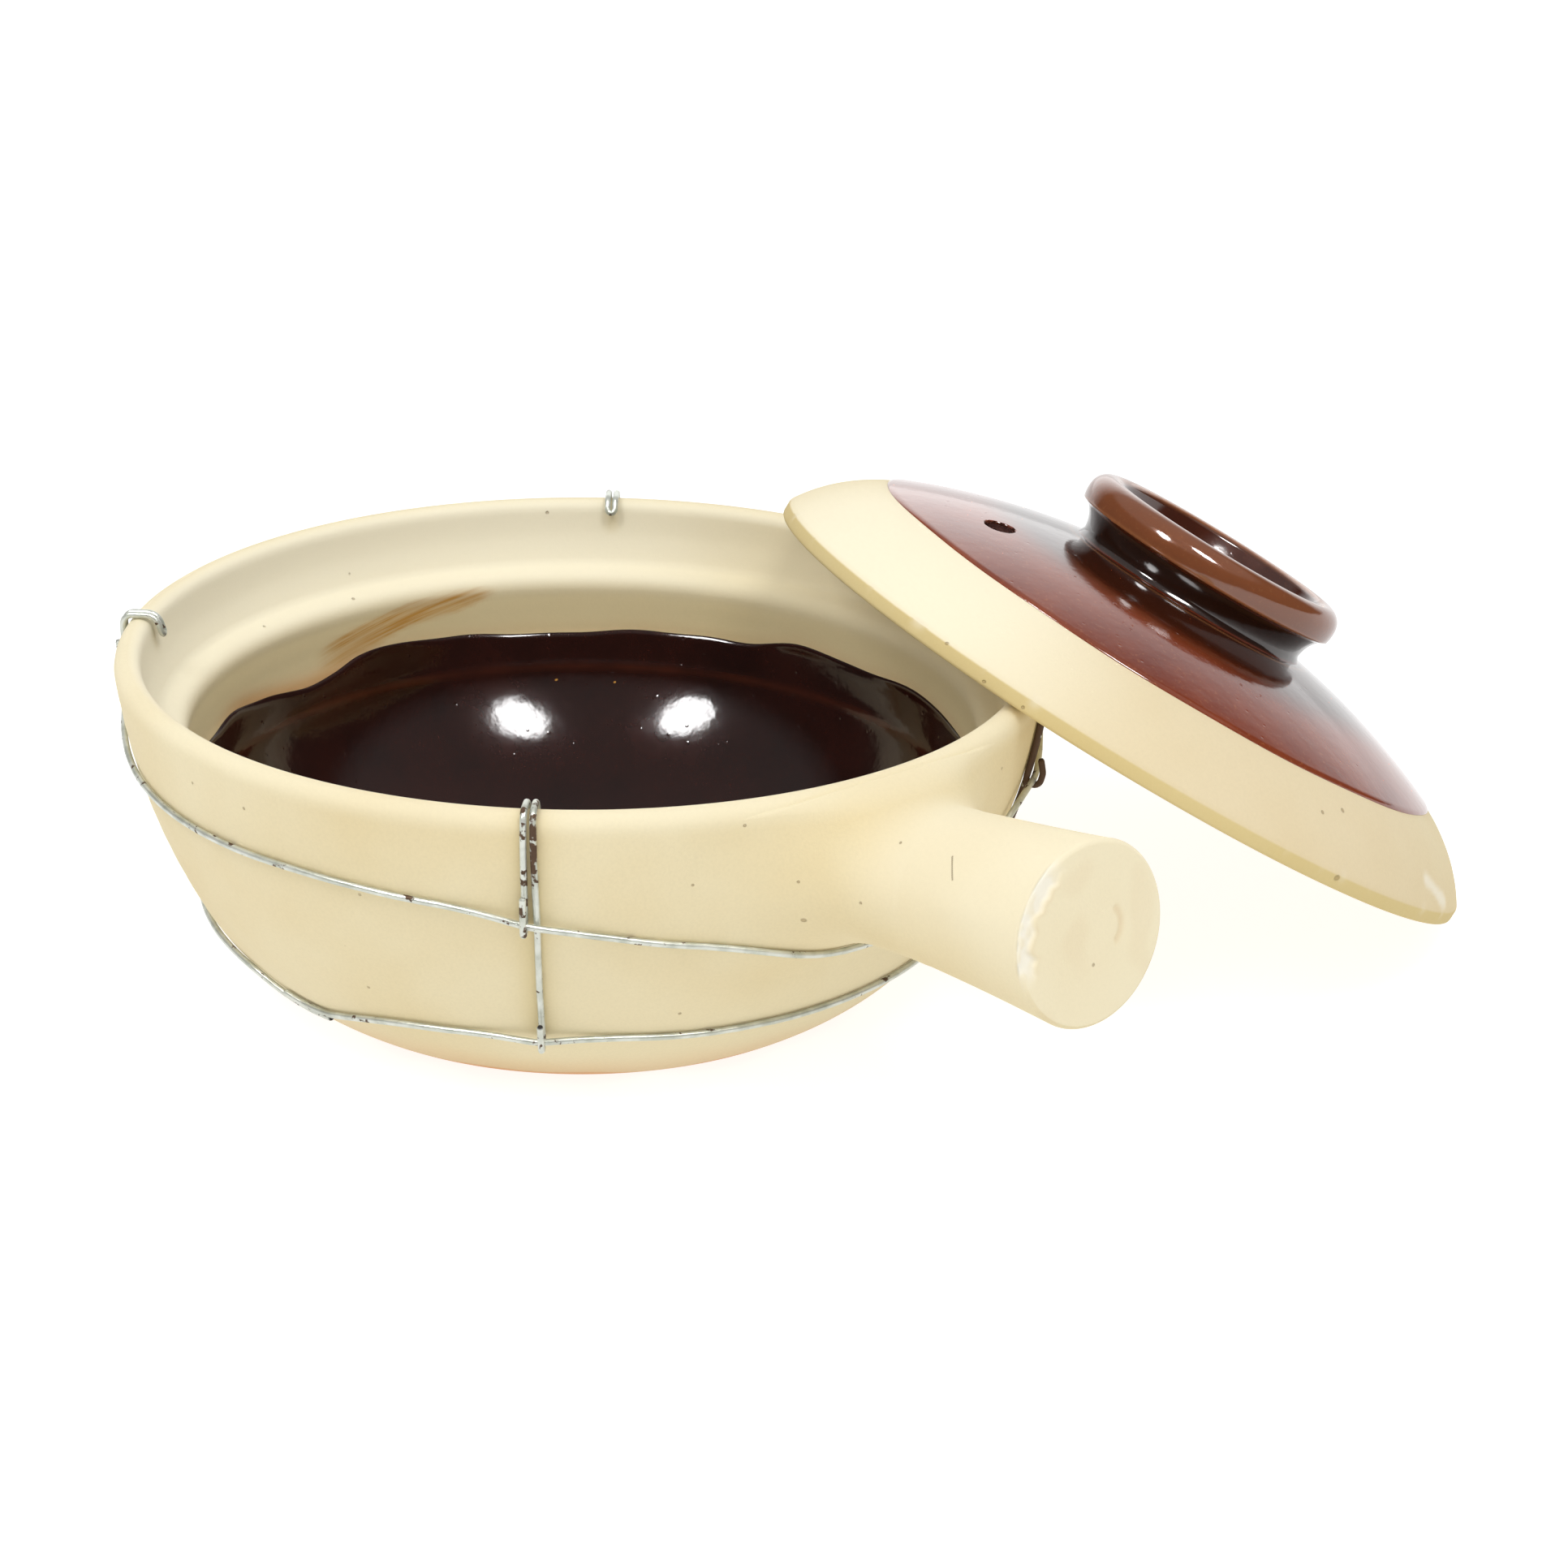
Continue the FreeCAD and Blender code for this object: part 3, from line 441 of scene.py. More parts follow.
# %% [markdown]
# ## From an outline to a mesh
# Every piece here is a net of rows, each of which goes once round. A net is quick to make and even
# in its faces, so soft light runs over it without a flaw. The ends of a solid piece are closed
# with a fan of faces round one point, and a skin such as the dome's glaze is closed on itself.

# %% Turn an outline
def grid_mesh(name, points, closed_rows, pole_start, pole_end):
    """A mesh from rows of points that each go once round; poles close its ends."""
    rows, around = points.shape[:2]
    index = np.arange(rows * around).reshape(rows, around)
    first, second = index[:-1], index[1:]
    if closed_rows:
        first, second = index, np.roll(index, -1, 0)
    corners = (first, np.roll(first, -1, 1), np.roll(second, -1, 1), second)
    faces = np.stack(corners, -1).reshape(-1, 4).tolist()
    vertices = points.reshape(-1, 3).tolist()
    for pole, ring, turned in ((pole_start, index[0], True), (pole_end, index[-1], False)):
        if pole is None:
            continue
        vertices.append(list(pole))
        centre = len(vertices) - 1
        for one, two in zip(ring.tolist(), np.roll(ring, -1).tolist()):
            faces.append((one, centre, two) if turned else (one, two, centre))
    mesh = bpy.data.meshes.new(name)
    mesh.from_pydata((np.array(vertices) * MM).tolist(), [], faces)
    mesh.validate()
    mesh.shade_smooth()
    made = bpy.data.objects.new(name, mesh)
    bpy.context.scene.collection.objects.link(made)
    return made


def thrown(name, line, around, relief=None):
    """Turn an outline that starts and ends on the axis into a closed piece."""
    bearings = np.linspace(0, 2 * math.pi, around, endpoint=False)
    radius = np.repeat(line[1:-1, 0:1], around, 1)
    height = np.repeat(line[1:-1, 1:2], around, 1)
    way = outward(line)[1:-1]
    if relief is not None:
        push = relief(bearings[None, :], radius, height)
        radius = radius + way[:, 0:1] * push
        height = height + way[:, 1:2] * push
    points = np.stack((radius * np.cos(bearings), radius * np.sin(bearings), height), -1)
    return grid_mesh(name, points, False, (0, 0, line[0, 1]), (0, 0, line[-1, 1]))


print("wheel ready")

# %% [markdown]
# ## Uneven places and paint
# Noise that runs round the pot without a seam gives the dents, and smooth steps and hills say
# where a mark begins and ends. The paint is stored as one number for each point of the mesh.

# %% Helpers for dents and paint
def soft_noise(points):
    """Smooth noise at many places, about plus or minus one."""
    flat = np.asarray(points, float).reshape(-1, 3).tolist()
    return np.array([noise.noise(tuple(p)) for p in flat]).reshape(np.shape(points)[:-1])


def ripple(bearing, height, size, seed):
    """Soft noise over bearing and height, as on the wall of a round pot."""
    x, y, z = np.broadcast_arrays(100.0 / size * np.cos(bearing), 100.0 / size * np.sin(bearing),
                                  height / size + 17.3 * seed)
    return soft_noise(np.stack((x, y, z), -1))


def paint(piece, name, values):
    """Store one number for each point of a piece, for its material to read."""
    layer = piece.data.attributes.new(name, "FLOAT", "POINT")
    layer.data.foreach_set("value", np.clip(values, 0, 1).astype(np.float32))


def corners_of(piece):
    """The points of a piece in millimetres."""
    flat = np.zeros(len(piece.data.vertices) * 3)
    piece.data.vertices.foreach_get("co", flat)
    return flat.reshape(-1, 3) / MM


def places(piece):
    """The points of a piece as bearing, radius and height."""
    spots_at = corners_of(piece)
    return (np.arctan2(spots_at[:, 1], spots_at[:, 0]), np.hypot(spots_at[:, 0], spots_at[:, 1]),
            spots_at[:, 2])


def soften(value, low, high):
    """A smooth step from 0 at low to 1 at high."""
    share = np.clip((value - low) / (high - low), 0, 1)
    return share * share * (3 - 2 * share)


def hill(value, middle, width):
    """A smooth hill, 1 at its middle."""
    return np.exp(-(((value - middle) / width) ** 2))


def apart(bearing, middle):
    """Degrees between bearings in radians and one in degrees."""
    return np.abs((np.degrees(bearing) - middle + 180.0) % 360.0 - 180.0)


print("a hill one width from its middle is", round(float(hill(1.0, 0.0, 1.0)), 2), "high")

# %% [markdown]
# ## The bowl
# The bowl's wall rises from a flat foot, curves out to a rounded lip, and steps down inside to a
# ledge where the lid would sit. Outside, the potter's ribs left faint rings. They are only a tenth
# of a millimetre deep, but light that grazes the wall finds them, so they are in the mesh.
# The rings fade where the handle was pressed on and smoothed.

# %% Throw the bowl
STEP = 1.1
AROUND = 540
RING_PITCH = 5.6
FOOT, BELLY, RIM, LIP = 60.7, (84.9, 23.5), (100.0, 71.5), 2.9
FOOT_ROUND, FOOT_CURVE, WALL_CURVE = 7.84, 56.7, 131.0
FOOT_FLAT, FOOT_TURN = FOOT - 1.95, (62.49, 0.95)
SKIN = 0.05
RING_DEPTH, MARK_DEPTH, MARK_SIZE = 0.10, 0.12, 38.0
# Painted light: how much paler the clay is painted at the lip, the front, the left and the far
# inside.
PAINTED_LIGHT_LIP, PAINTED_LIGHT_FRONT, PAINTED_LIGHT_LEFT, PAINTED_LIGHT_INSIDE = 0.45, 0.10, 0.25, 0.62
INSIDE_CURVE = [
    (90.6, 60.6, None, 0), (87.2, 59.2, 4.2, RIGHT), (84.8, 54.6, 160.0, LEFT),
    (84.1, 46.0, 56.0, LEFT),
]
FLOOR_EDGE = (46.0, 9.202)
FLOOR_MIDDLE, FLOOR_CURVE = 7.6, 661.0
bowl_line = template(
    [(0, 0, None, 0), (FOOT_FLAT, 0, FOOT_ROUND, RIGHT), (*FOOT_TURN, FOOT_CURVE, RIGHT),
     (*BELLY, WALL_CURVE, RIGHT), (*RIM, LIP, RIGHT), (RIM[0] - LIP, RIM[1] + LIP, LIP, RIGHT),
     (RIM[0] - 2 * LIP, RIM[1], 26.0, LEFT)] + INSIDE_CURVE
    + [(*FLOOR_EDGE, FLOOR_CURVE, LEFT), (0, FLOOR_MIDDLE, None, 0)], STEP)
wall_outline = bowl_line[: np.argmax(bowl_line[:, 1]) + 1]


def wall_radius(height):
    """Outside radius of the bowl at a height."""
    return np.interp(height, wall_outline[:, 1], wall_outline[:, 0])


def bowl_relief(bearing, radius, height):
    """Throwing rings and hand marks, always a little inside the template."""
    turns = height / RING_PITCH + bearing / (2 * math.pi)
    rings = 0.5 + 0.5 * np.sin(2 * math.pi * turns)
    marks = ripple(bearing, height, MARK_SIZE, 1)
    outside = soften(height, 4.0, 12.0) * (1 - soften(height, 66.0, 71.0))
    free = soften(apart(bearing, 0.0), 30.0, 44.0)
    depth = RING_DEPTH * rings * (0.6 + 0.4 * marks) + MARK_DEPTH * (0.5 + 0.5 * marks)
    return -(SKIN + outside * free * depth) * soften(radius, 62.0, 66.0)


def wall_pale(bearing, radius, height):
    """Painted light: the clay painted paler on the lip, inside the bowl and at the front and left.
    """
    inside = soften(wall_radius(height) - radius, 0.8, 3.5)
    lip = PAINTED_LIGHT_LIP * soften(height, 67.0, 74.0)
    front = PAINTED_LIGHT_FRONT * soften(apart(bearing, -35.0), 100, 20)
    left = PAINTED_LIGHT_LEFT * soften(apart(bearing, -100.0), 50, 10)
    far = PAINTED_LIGHT_INSIDE + 0.36 * soften(apart(bearing, -165.0), 85, 45)
    far = far + 0.3 * hill(apart(bearing, 85), 0, 40)
    far = far * (0.45 + 0.55 * soften(height, 54.0, 60.0))
    outside = np.maximum(np.maximum(lip, left), front)
    return outside + (far - outside) * inside


bowl = thrown("clay_bowl", bowl_line, AROUND, bowl_relief)
bowl.data.materials.append(clay)
print("bowl faces:", len(bowl.data.polygons))

# %% [markdown]
# ## Stains, brush strokes and painted shade
# Bare clay keeps a record of the kiln and of use. The foot is toasted, the ties leave faint rust,
# and thin slip was brushed slantwise over the far wall, above the glaze. Painted light and shade
# go
# on too: the clay is painted paler where light falls, and yellower under the lid and in the throat
# below the ledge. Each of these belongs to one place, so it is painted on the mesh as a share from
# 0 to 1, and the clay's material turns it into colour.

# %% Stain and brush the bowl, and paint its light and shade
bearing, radius, height = places(bowl)
edge = height + 2.5 * ripple(bearing, height, 20.0, 5)
toasted = np.maximum(1 - soften(edge, 0.3, 3.6), 0.28 * (1 - soften(edge, 3.0, 14.0)))
paint(bowl, "toasted", toasted * soften(radius, 50, 60))
# Painted light: the clay is painted paler on the lip, inside and at the front and left.
paint(bowl, "pale", wall_pale(bearing, radius, height))
outer = radius > np.interp(height, [0, 24, 72, 75], [0, 83, 97, 95])
inner = ~outer & (height > 50)
# Faint rust where the ties press on the clay: bearing, width, lowest and highest height, amount
# and the side of the wall.
RUBS = [(-43.8, 2.1, 20.0, 74.0, 0.42, outer), (138.5, 0.9, 68.0, 71.5, 0.4, inner),
        (-135.5, 0.9, 68.0, 71.5, 0.3, inner), (36.6, 1.8, 18.0, 74.0, 0.7, outer)]
rust_and_shade = np.zeros(len(height))
for middle, width, low, high, amount, where in RUBS:
    band = soften(height, low - 2, low + 1) * (1 - soften(height, high - 1, high + 2))
    rust_and_shade = np.maximum(rust_and_shade, amount * hill(apart(bearing, middle), 0.0, width) * band * where)
# Painted shade: under the lid's shadow and in the throat below the ledge, the clay is painted
# yellower and darker, on top of the rust.
shaded = 0.30 * soften(apart(bearing, 75.0), 62, 30) * (height > 42) * (height < 72)
throat_shade = 0.55 * (1 - soften(height, 53.0, 59.0)) * (height > 40)
rust_and_shade = np.maximum(rust_and_shade, np.maximum(shaded, throat_shade) * (radius < wall_radius(height) - 3))
paint(bowl, "yellowed", rust_and_shade)
turned_by = np.degrees(bearing) % 360
PATCH_AT = (157, 163, 171.5, 178, 184, 190)
patch_top = np.interp(turned_by, PATCH_AT, (56.9, 56.7, 55.7, 53.4, 51.6, 50.0))
patch_foot = np.interp(turned_by, PATCH_AT, (55.0, 52.0, 50.2, 47.2, 45.5, 44.5))
patch = soften(height - patch_foot, -0.6, 0.9) * (1 - soften(height - patch_top, -0.9, 0.8))
patch *= soften(turned_by, 156, 160) * (1 - soften(turned_by, 183, 190)) * (radius < 88)
paint(bowl, "brushed", patch)
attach(bowl, "pot")
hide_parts("pot_body")
print("brushed points:", int((patch > 0.5).sum()))

# %% [markdown]
# ## The dark glaze inside the bowl
# Glaze was poured into the bowl and swirled, so its upper edge wanders up and down by a few
# millimetres and ends in a soft bead. A faint ridge runs round where the poured pool stood. The
# coat is a skin of its own: it follows the clay from the middle of the floor, ends where the edge
# line says, and tapers to nothing over its last stretch.

# %% Draw the glaze line and the skin
COAT = 0.5
SUNK = 0.12
# The upper edge of the glaze: bearing in degrees and height.
EDGE_LINE = [
    (-179.2, 46.1), (-174.3, 44.0), (-169.1, 43.1), (-163.6, 43.5), (-157.4, 44.6), (-150.1, 45.8),
    (-140.3, 44.8), (-120, 46.3), (-95, 47.0), (-70, 45.8), (-45, 45.2), (-20, 46.4), (10, 46.8),
    (40, 45.6), (69.7, 46.8), (78.3, 47.6), (85.2, 47.3), (96.6, 46.9), (106.4, 48.1),
    (115.2, 46.0), (123.6, 46.0), (131.7, 46.3), (143.5, 45.4), (155.3, 45.7), (163.4, 46.3),
    (171.8, 46.8),
]
POOL_LINE, POOL_RIDGE = 38.2, 0.10
BEAD = 2.0
bowl_inside = template(
    [(0, FLOOR_MIDDLE, FLOOR_CURVE, RIGHT), (*FLOOR_EDGE, 56.0, RIGHT), (84.1, 46.0, 160.0, RIGHT),
     (84.8, 54.6, None, 0)], STEP)


def round_the_pot(knots, bearing):
    """A smooth curve through (bearing, value) knots that closes on itself."""
    at = np.array([knot[0] for knot in knots], float)
    value = np.array([knot[1] for knot in knots], float)
    at = np.concatenate((at[-3:] - 360, at, at[:3] + 360))
    value = np.concatenate((value[-3:], value, value[:3]))
    slope = np.gradient(value, at)
    where = np.clip(np.searchsorted(at, bearing, "right") - 1, 0, len(at) - 2)
    span = at[where + 1] - at[where]
    t = (bearing - at[where]) / span
    start = (2 * t**3 - 3 * t**2 + 1) * value[where] + (t**3 - 2 * t**2 + t) * span * slope[where]
    end = (3 * t**2 - 2 * t**3) * value[where + 1] + (t**3 - t**2) * span * slope[where + 1]
    return start + end


def coat(line, ends, thickness, around, bead_width, ridge=None):
    """Outer and inner points of a skin over an outline that ends at a varying length."""
    length = np.concatenate(([0], np.cumsum(np.hypot(*np.diff(line, axis=0).T))))
    way = -outward(line)
    bearings = np.linspace(-math.pi, math.pi, around, endpoint=False)
    tail = 0.96 + 0.04 * np.sin(np.linspace(0, math.pi / 2, 10))
    share = np.concatenate((np.linspace(0, 0.96, 120)[:-1], tail))
    last = ends(np.degrees(bearings), line, length)
    along = share[:, None] * last[None, :]
    left = last[None, :] - along
    bead = np.sqrt(np.clip(1 - (1 - np.clip(left / bead_width, 0, 1)) ** 2, 0, 1))
    top = thickness * bead
    if ridge is not None:
        top = top + ridge(np.interp(along, length, line[:, 1]))
    layers = []
    for offset in (top, np.full_like(along, -SUNK)):
        r = np.interp(along, length, line[:, 0]) + np.interp(along, length, way[:, 0]) * offset
        z = np.interp(along, length, line[:, 1]) + np.interp(along, length, way[:, 1]) * offset
        layers.append(np.stack((r * np.cos(bearings), r * np.sin(bearings), z), -1))
    return layers


def edge_lengths(degrees, line, length):
    """How far along the inside of the bowl the glaze reaches at each bearing."""
    top = round_the_pot(EDGE_LINE, degrees)
    top = top + 0.2 * np.sin(np.radians(degrees) * 23) * np.sin(np.radians(degrees) * 5)
    side = line[:, 1] > FLOOR_EDGE[1]
    return np.interp(top, line[side, 1], length[side])


def pool_ridge(height):
    """The faint ridge that the poured pool left."""
    return POOL_RIDGE * hill(height, POOL_LINE, 1.1)


print("glaze line from", min(h for _, h in EDGE_LINE), "to", max(h for _, h in EDGE_LINE), "mm")

# %% [markdown]
# ## Pouring it
# The skin's outer and inner points make one closed net. Where the pool's ridge broke, the glaze is
# thin and a little browner. On the clay just above the edge the glaze has seeped, most of all at
# the left, so the bowl gets a last number to read.

# %% Pour the inner glaze
over, under = coat(bowl_inside, edge_lengths, COAT, AROUND, BEAD, ridge=pool_ridge)
inner_coat = grid_mesh("inner_glaze_coat", np.concatenate((over[1:], under[1:][::-1])), False,
                       (0, 0, FLOOR_MIDDLE + COAT), (0, 0, FLOOR_MIDDLE - SUNK))
inner_coat.data.materials.append(dark_glaze)
bearing, radius, height = places(inner_coat)
broken = 0.6 + 0.4 * ripple(bearing, height, 9.0, 21)
paint(inner_coat, "thin", 0.28 * hill(height, POOL_LINE, 0.8) * broken)
bearing, radius, height = places(bowl)
past = height - round_the_pot(EDGE_LINE, np.degrees(bearing))
near_edge = hill(past, 0.0, 2.4) * (radius < 88) * (height > 40)
paint(bowl, "seeped", near_edge * (0.22 + 0.7 * soften(apart(bearing, -163.0), 24, 8)))
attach(inner_coat, "pot")
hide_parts("inner_glaze")
print("glaze faces:", len(inner_coat.data.polygons))

# %% [markdown]
# ## The stub handle
# The handle is a thick roll of clay pressed onto the wall and smoothed down all round, so the wall
# runs up into it without a line. The two forms are melted together by arithmetic: each has a
# function for the gap to its surface, and a smooth least of the two has one blended surface. Every
# point of a rough net is then slid onto that surface. The end was cut off and left a little torn.

# %% Describe the wall and the roll as gaps
HANDLE_RISE = math.radians(5.4)
HANDLE_HEIGHT = 45.5
HANDLE_END, END_RADIUS = 158.6, 18.9
HANDLE_NECK, NECK_RADIUS = 116.0, 15.9
MELT_SIDE, MELT_UP, MELT_DOWN = 27.0, 11.0, 8.0
SLIDE_SHARE, FEELER = 0.8, 0.05
across = np.array((0.0, 1.0, 0.0))
upright = np.array((-math.sin(HANDLE_RISE), 0, math.cos(HANDLE_RISE)))
axis_way = np.array((math.cos(HANDLE_RISE), 0, math.sin(HANDLE_RISE)))
axis_foot = np.array((0.0, 0.0, HANDLE_HEIGHT))


def wall_gap(points):
    """Gap from points to the bowl's outer face, with the lip's round on top."""
    radius = np.hypot(points[..., 0], points[..., 1])
    height = points[..., 2]
    slope = wall_radius(height + 0.5) - wall_radius(height - 0.5)
    side = (radius - wall_radius(height)) / np.sqrt(1 + slope**2)
    lip = np.hypot(radius - RIM[0] + LIP, height - RIM[1]) - LIP
    return np.where(height < RIM[1], side, lip) + SKIN


def roll_radius(along):
    """Radius of the roll of clay at a length from the pot's axis."""
    share = np.clip((along - HANDLE_NECK) / (HANDLE_END - HANDLE_NECK), 0, 1)
    return NECK_RADIUS + (END_RADIUS - NECK_RADIUS) * share ** 1.2


def melted_gap(points):
    """Gap to the wall and the roll melted together."""
    from_axis = points - axis_foot
    along = from_axis @ axis_way
    side, high = from_axis @ across, from_axis @ upright
    around_axis = np.hypot(side, high)
    roll = around_axis - roll_radius(along)
    wall = wall_gap(points)
    upward = high / np.maximum(around_axis, 1e-6)
    melt_high = np.where(upward > 0, MELT_UP, MELT_DOWN)
    melt = MELT_SIDE + (melt_high - MELT_SIDE) * upward**2
    radius = np.hypot(points[..., 0], points[..., 1])
    on_lip = soften(points[..., 2], 70.5, 73.5) * (1 - soften(radius, 97.5, 100.5))
    melt = melt * (1 - on_lip) + 0.01
    near = np.clip(melt - np.abs(wall - roll), 0, None) / melt
    return np.minimum(wall, roll) - near**2 * melt / 4


def slid_on(points, level=0.0, rounds=14):
    """Slide points along the steepest way until the melted gap is at its level."""
    for _ in range(rounds):
        gap = melted_gap(points) - level
        slope = np.stack([melted_gap(points + step) - melted_gap(points - step)
                          for step in np.eye(3) * FEELER], -1) / (2 * FEELER)
        slope /= np.maximum(np.linalg.norm(slope, axis=-1, keepdims=True), 0.3)
        points = points - SLIDE_SHARE * gap[..., None] * slope
    return points


neck = axis_foot + axis_way * HANDLE_NECK
print("melted gap at the neck:", round(float(melted_gap(neck)), 2))

# %% [markdown]
# ## Rolling the handle and joining it
# The net of the handle starts from a squarish ring on the wall and runs out to the neck of the
# roll. Its rows are slid onto the melted surface and then evened out by turns, much as a thumb
# smooths the joint while the clay is soft. From the neck on, each row is a plain ring of the roll.

# %% Roll and join the handle
AROUND_HANDLE, ROOT_ROWS, BODY_ROWS, SMOOTHINGS = 260, 64, 40, 30
SIDE_REACH, UP_REACH, DOWN_REACH = 48.0, 19.3, 26.0
ROOT_HEIGHT, SQUARENESS = 54.6, 0.55
NECK_PAST = HANDLE_NECK + 4
angle = np.linspace(0, 2 * math.pi, AROUND_HANDLE, endpoint=False)
spokes = np.cos(angle)[:, None] * across + np.sin(angle)[:, None] * upright
far_up = np.where(np.sin(angle) > 0, UP_REACH, DOWN_REACH)
root_side = np.sign(np.cos(angle)) * np.abs(np.cos(angle)) ** SQUARENESS
root_up = np.sign(np.sin(angle)) * np.abs(np.sin(angle)) ** SQUARENESS
root_height = ROOT_HEIGHT + far_up * root_up
root_radius = wall_radius(root_height)
root_bearing = SIDE_REACH * root_side / root_radius
root_ring = np.stack((root_radius * np.cos(root_bearing), root_radius * np.sin(root_bearing),
                      root_height), -1)
neck_ring = axis_foot + NECK_PAST * axis_way + roll_radius(NECK_PAST) * spokes
rows = []
for t in np.linspace(0, 1, ROOT_ROWS):
    rows.append(root_ring * (1 - t) + neck_ring * t)
root_rows = slid_on(np.array(rows))
for _ in range(SMOOTHINGS):
    evened = (root_rows[:-2] + 2 * root_rows[1:-1] + root_rows[2:]) / 4
    evened = (2 * evened + np.roll(evened, 1, 1) + np.roll(evened, -1, 1)) / 4
    root_rows[1:-1] = evened
    root_rows = slid_on(root_rows, rounds=2)
CUT_ROUND = 1.15
CUT_LENGTH = HANDLE_END - CUT_ROUND
LUMP_DEPTH, UNDER_SIZE = 0.16, 0.1
body_rows = []
for t in np.linspace(0, 1, BODY_ROWS)[1:]:
    along = NECK_PAST + (CUT_LENGTH - NECK_PAST) * t
    lumps = LUMP_DEPTH * ripple(angle, along * 0.8, 26.0, 31) * soften(along, 122, 132)
    radius = roll_radius(along) - UNDER_SIZE + lumps
    body_rows.append(axis_foot + along * axis_way + radius[:, None] * spokes)
print("root rows:", len(root_rows), "largest gap left",
      round(float(np.abs(melted_gap(root_rows)).max()), 3))

# %% [markdown]
# ## The cut end of the handle
# The roll was cut off with a wire and its left edge tore, which left a chalky, wandering strip. A
# finger left a short curved groove near the middle. Both are pushed into the mesh, and the same
# shares are painted on it, so the relief and the colour lie on each other.

# %% Cut and tear the handle's end
TORN_FROM, TORN_TO = 122.0, 190.0
TEAR_IN, TEAR_WANDER = END_RADIUS - 3.4, 1.7
GROOVE_MIDDLE, GROOVE_RADIUS, GROOVE_WIDTH, GROOVE_DEPTH = (3.2, 0.5), 4.5, 0.75, 0.42
ROUND_ROWS, FACE_ROWS = 12, 76


def cut_face(radius, angle):
    """How far the cut end is sunk at each point, and where it is chalky and where tinted."""
    side, high = radius * np.cos(angle), radius * np.sin(angle)
    degrees = np.degrees(angle) % 360
    torn = soften(degrees, TORN_FROM - 12, TORN_FROM + 6)
    torn = torn * (1 - soften(degrees, TORN_TO - 6, TORN_TO + 14))
    grain = soft_noise(np.stack((side / 2.2, high / 2.2, side * 0 + 4.4), -1))
    slow = soft_noise(np.stack((side / 9.0, high / 9.0, side * 0 + 9.1), -1))
    wander = soft_noise(np.stack((6 * np.cos(angle), 6 * np.sin(angle), side * 0 + 2.2), -1))
    tear = TEAR_IN + TEAR_WANDER * wander
    rim = torn * soften(radius, tear - 0.7, tear + 0.5)
    from_side, from_high = side - GROOVE_MIDDLE[0], high - GROOVE_MIDDLE[1]
    groove_way = np.arctan2(from_high, from_side)
    groove = hill(np.hypot(from_side, from_high), GROOVE_RADIUS, GROOVE_WIDTH)
    groove = groove * (1 - soften(np.abs(groove_way), 0.75, 1.05))
    sunk = 0.14 * (0.5 + 0.5 * slow) + GROOVE_DEPTH * groove + rim * (0.75 + 0.40 * grain)
    line = 0.8 * torn * hill(radius, tear - 0.8, 0.6) * (0.5 + 0.5 * grain)
    blotch = 0.38 * soften(slow, 0.05, 0.45) * (1 - torn * soften(radius, tear - 2, tear))
    chalky = rim * (0.45 + 0.55 * soften(grain, -0.4, 0.2))
    return np.clip(sunk, 0, None), chalky, np.maximum(groove + line, blotch)


end_rows, chalky_rows, tinted_rows = [], [], []
# Each row of the end: its radius, its length, and how much of the sinking it takes.
end_plan = []
for t in np.linspace(0, math.pi / 2, ROUND_ROWS)[1:]:
    end_plan.append((END_RADIUS - CUT_ROUND * (1 - math.cos(t)),
                     CUT_LENGTH + CUT_ROUND * math.sin(t), math.sin(t)))
for share in np.linspace(1, 0.012, FACE_ROWS)[1:]:
    end_plan.append(((END_RADIUS - CUT_ROUND) * share, HANDLE_END, 1.0))
for number, (radius, along, sinking) in enumerate(end_plan):
    radius = radius * np.ones(AROUND_HANDLE)
    sunk, chalky, tinted = cut_face(radius, angle)
    if number < ROUND_ROWS - 1:
        radius = radius - 0.16 - 0.5 * chalky * (1 - sinking)
    along = along - sunk * sinking
    end_rows.append(axis_foot + along[:, None] * axis_way + radius[:, None] * spokes)
    chalky_rows.append(chalky)
    tinted_rows.append(tinted)
print("end rows:", len(end_rows))

# %% [markdown]
# ## Closing the handle's net and painting it
# The first rows are let into the wall, so the joint has no open edge, and a point inside the wall
# closes the net. The root takes the wall's own painted light, so no line shows where the two meet,
# and the top of the handle and its cut face are painted paler.

# %% Close and paint the handle
ROOT_POINT, END_POINT = (91.5, 0, 56.0), (axis_foot + axis_way * (HANDLE_END - 0.07)).tolist()
# How deep the first rows are let into the wall: row numbers and levels.
LET_IN = ([0, 1, 3, 6], [-0.5, -0.2, -0.04, 0.0])
level = np.interp(np.arange(len(root_rows)), *LET_IN)
root_rows = slid_on(root_rows, level=level[:, None])
points = np.concatenate((root_rows, body_rows, end_rows))
handle = grid_mesh("stub_handle", points, False, ROOT_POINT, END_POINT)
handle.data.materials.append(clay)
blank = len(root_rows) + len(body_rows)
chalky = np.concatenate((np.zeros((blank, AROUND_HANDLE)), chalky_rows))
tinted = np.concatenate((np.zeros((blank, AROUND_HANDLE)), tinted_rows))
out = np.linalg.norm(points - axis_foot, axis=-1)
on_face = np.concatenate((np.zeros((blank + 8, AROUND_HANDLE)),
                          np.ones((len(end_rows) - 8, AROUND_HANDLE))))
# Painted light: the handle's top is painted paler, its root takes the wall's, and its cut face is
# paler.
pale = soften(out, 102, 122) * (0.10 + 0.50 * soften(points[..., 2], 44, 66)) * (1 - on_face)
root = wall_pale(np.arctan2(points[..., 1], points[..., 0]),
                 np.hypot(points[..., 0], points[..., 1]) + 9, points[..., 2])
pale = np.maximum(pale, root * (1 - soften(out, 102, 122))) + 0.50 * on_face


def paint_grid(piece, name, rows):
    """Paint a net of rows whose two poles come last."""
    paint(piece, name, np.concatenate((np.ravel(rows), [np.mean(rows[0]), np.mean(rows[-1])])))


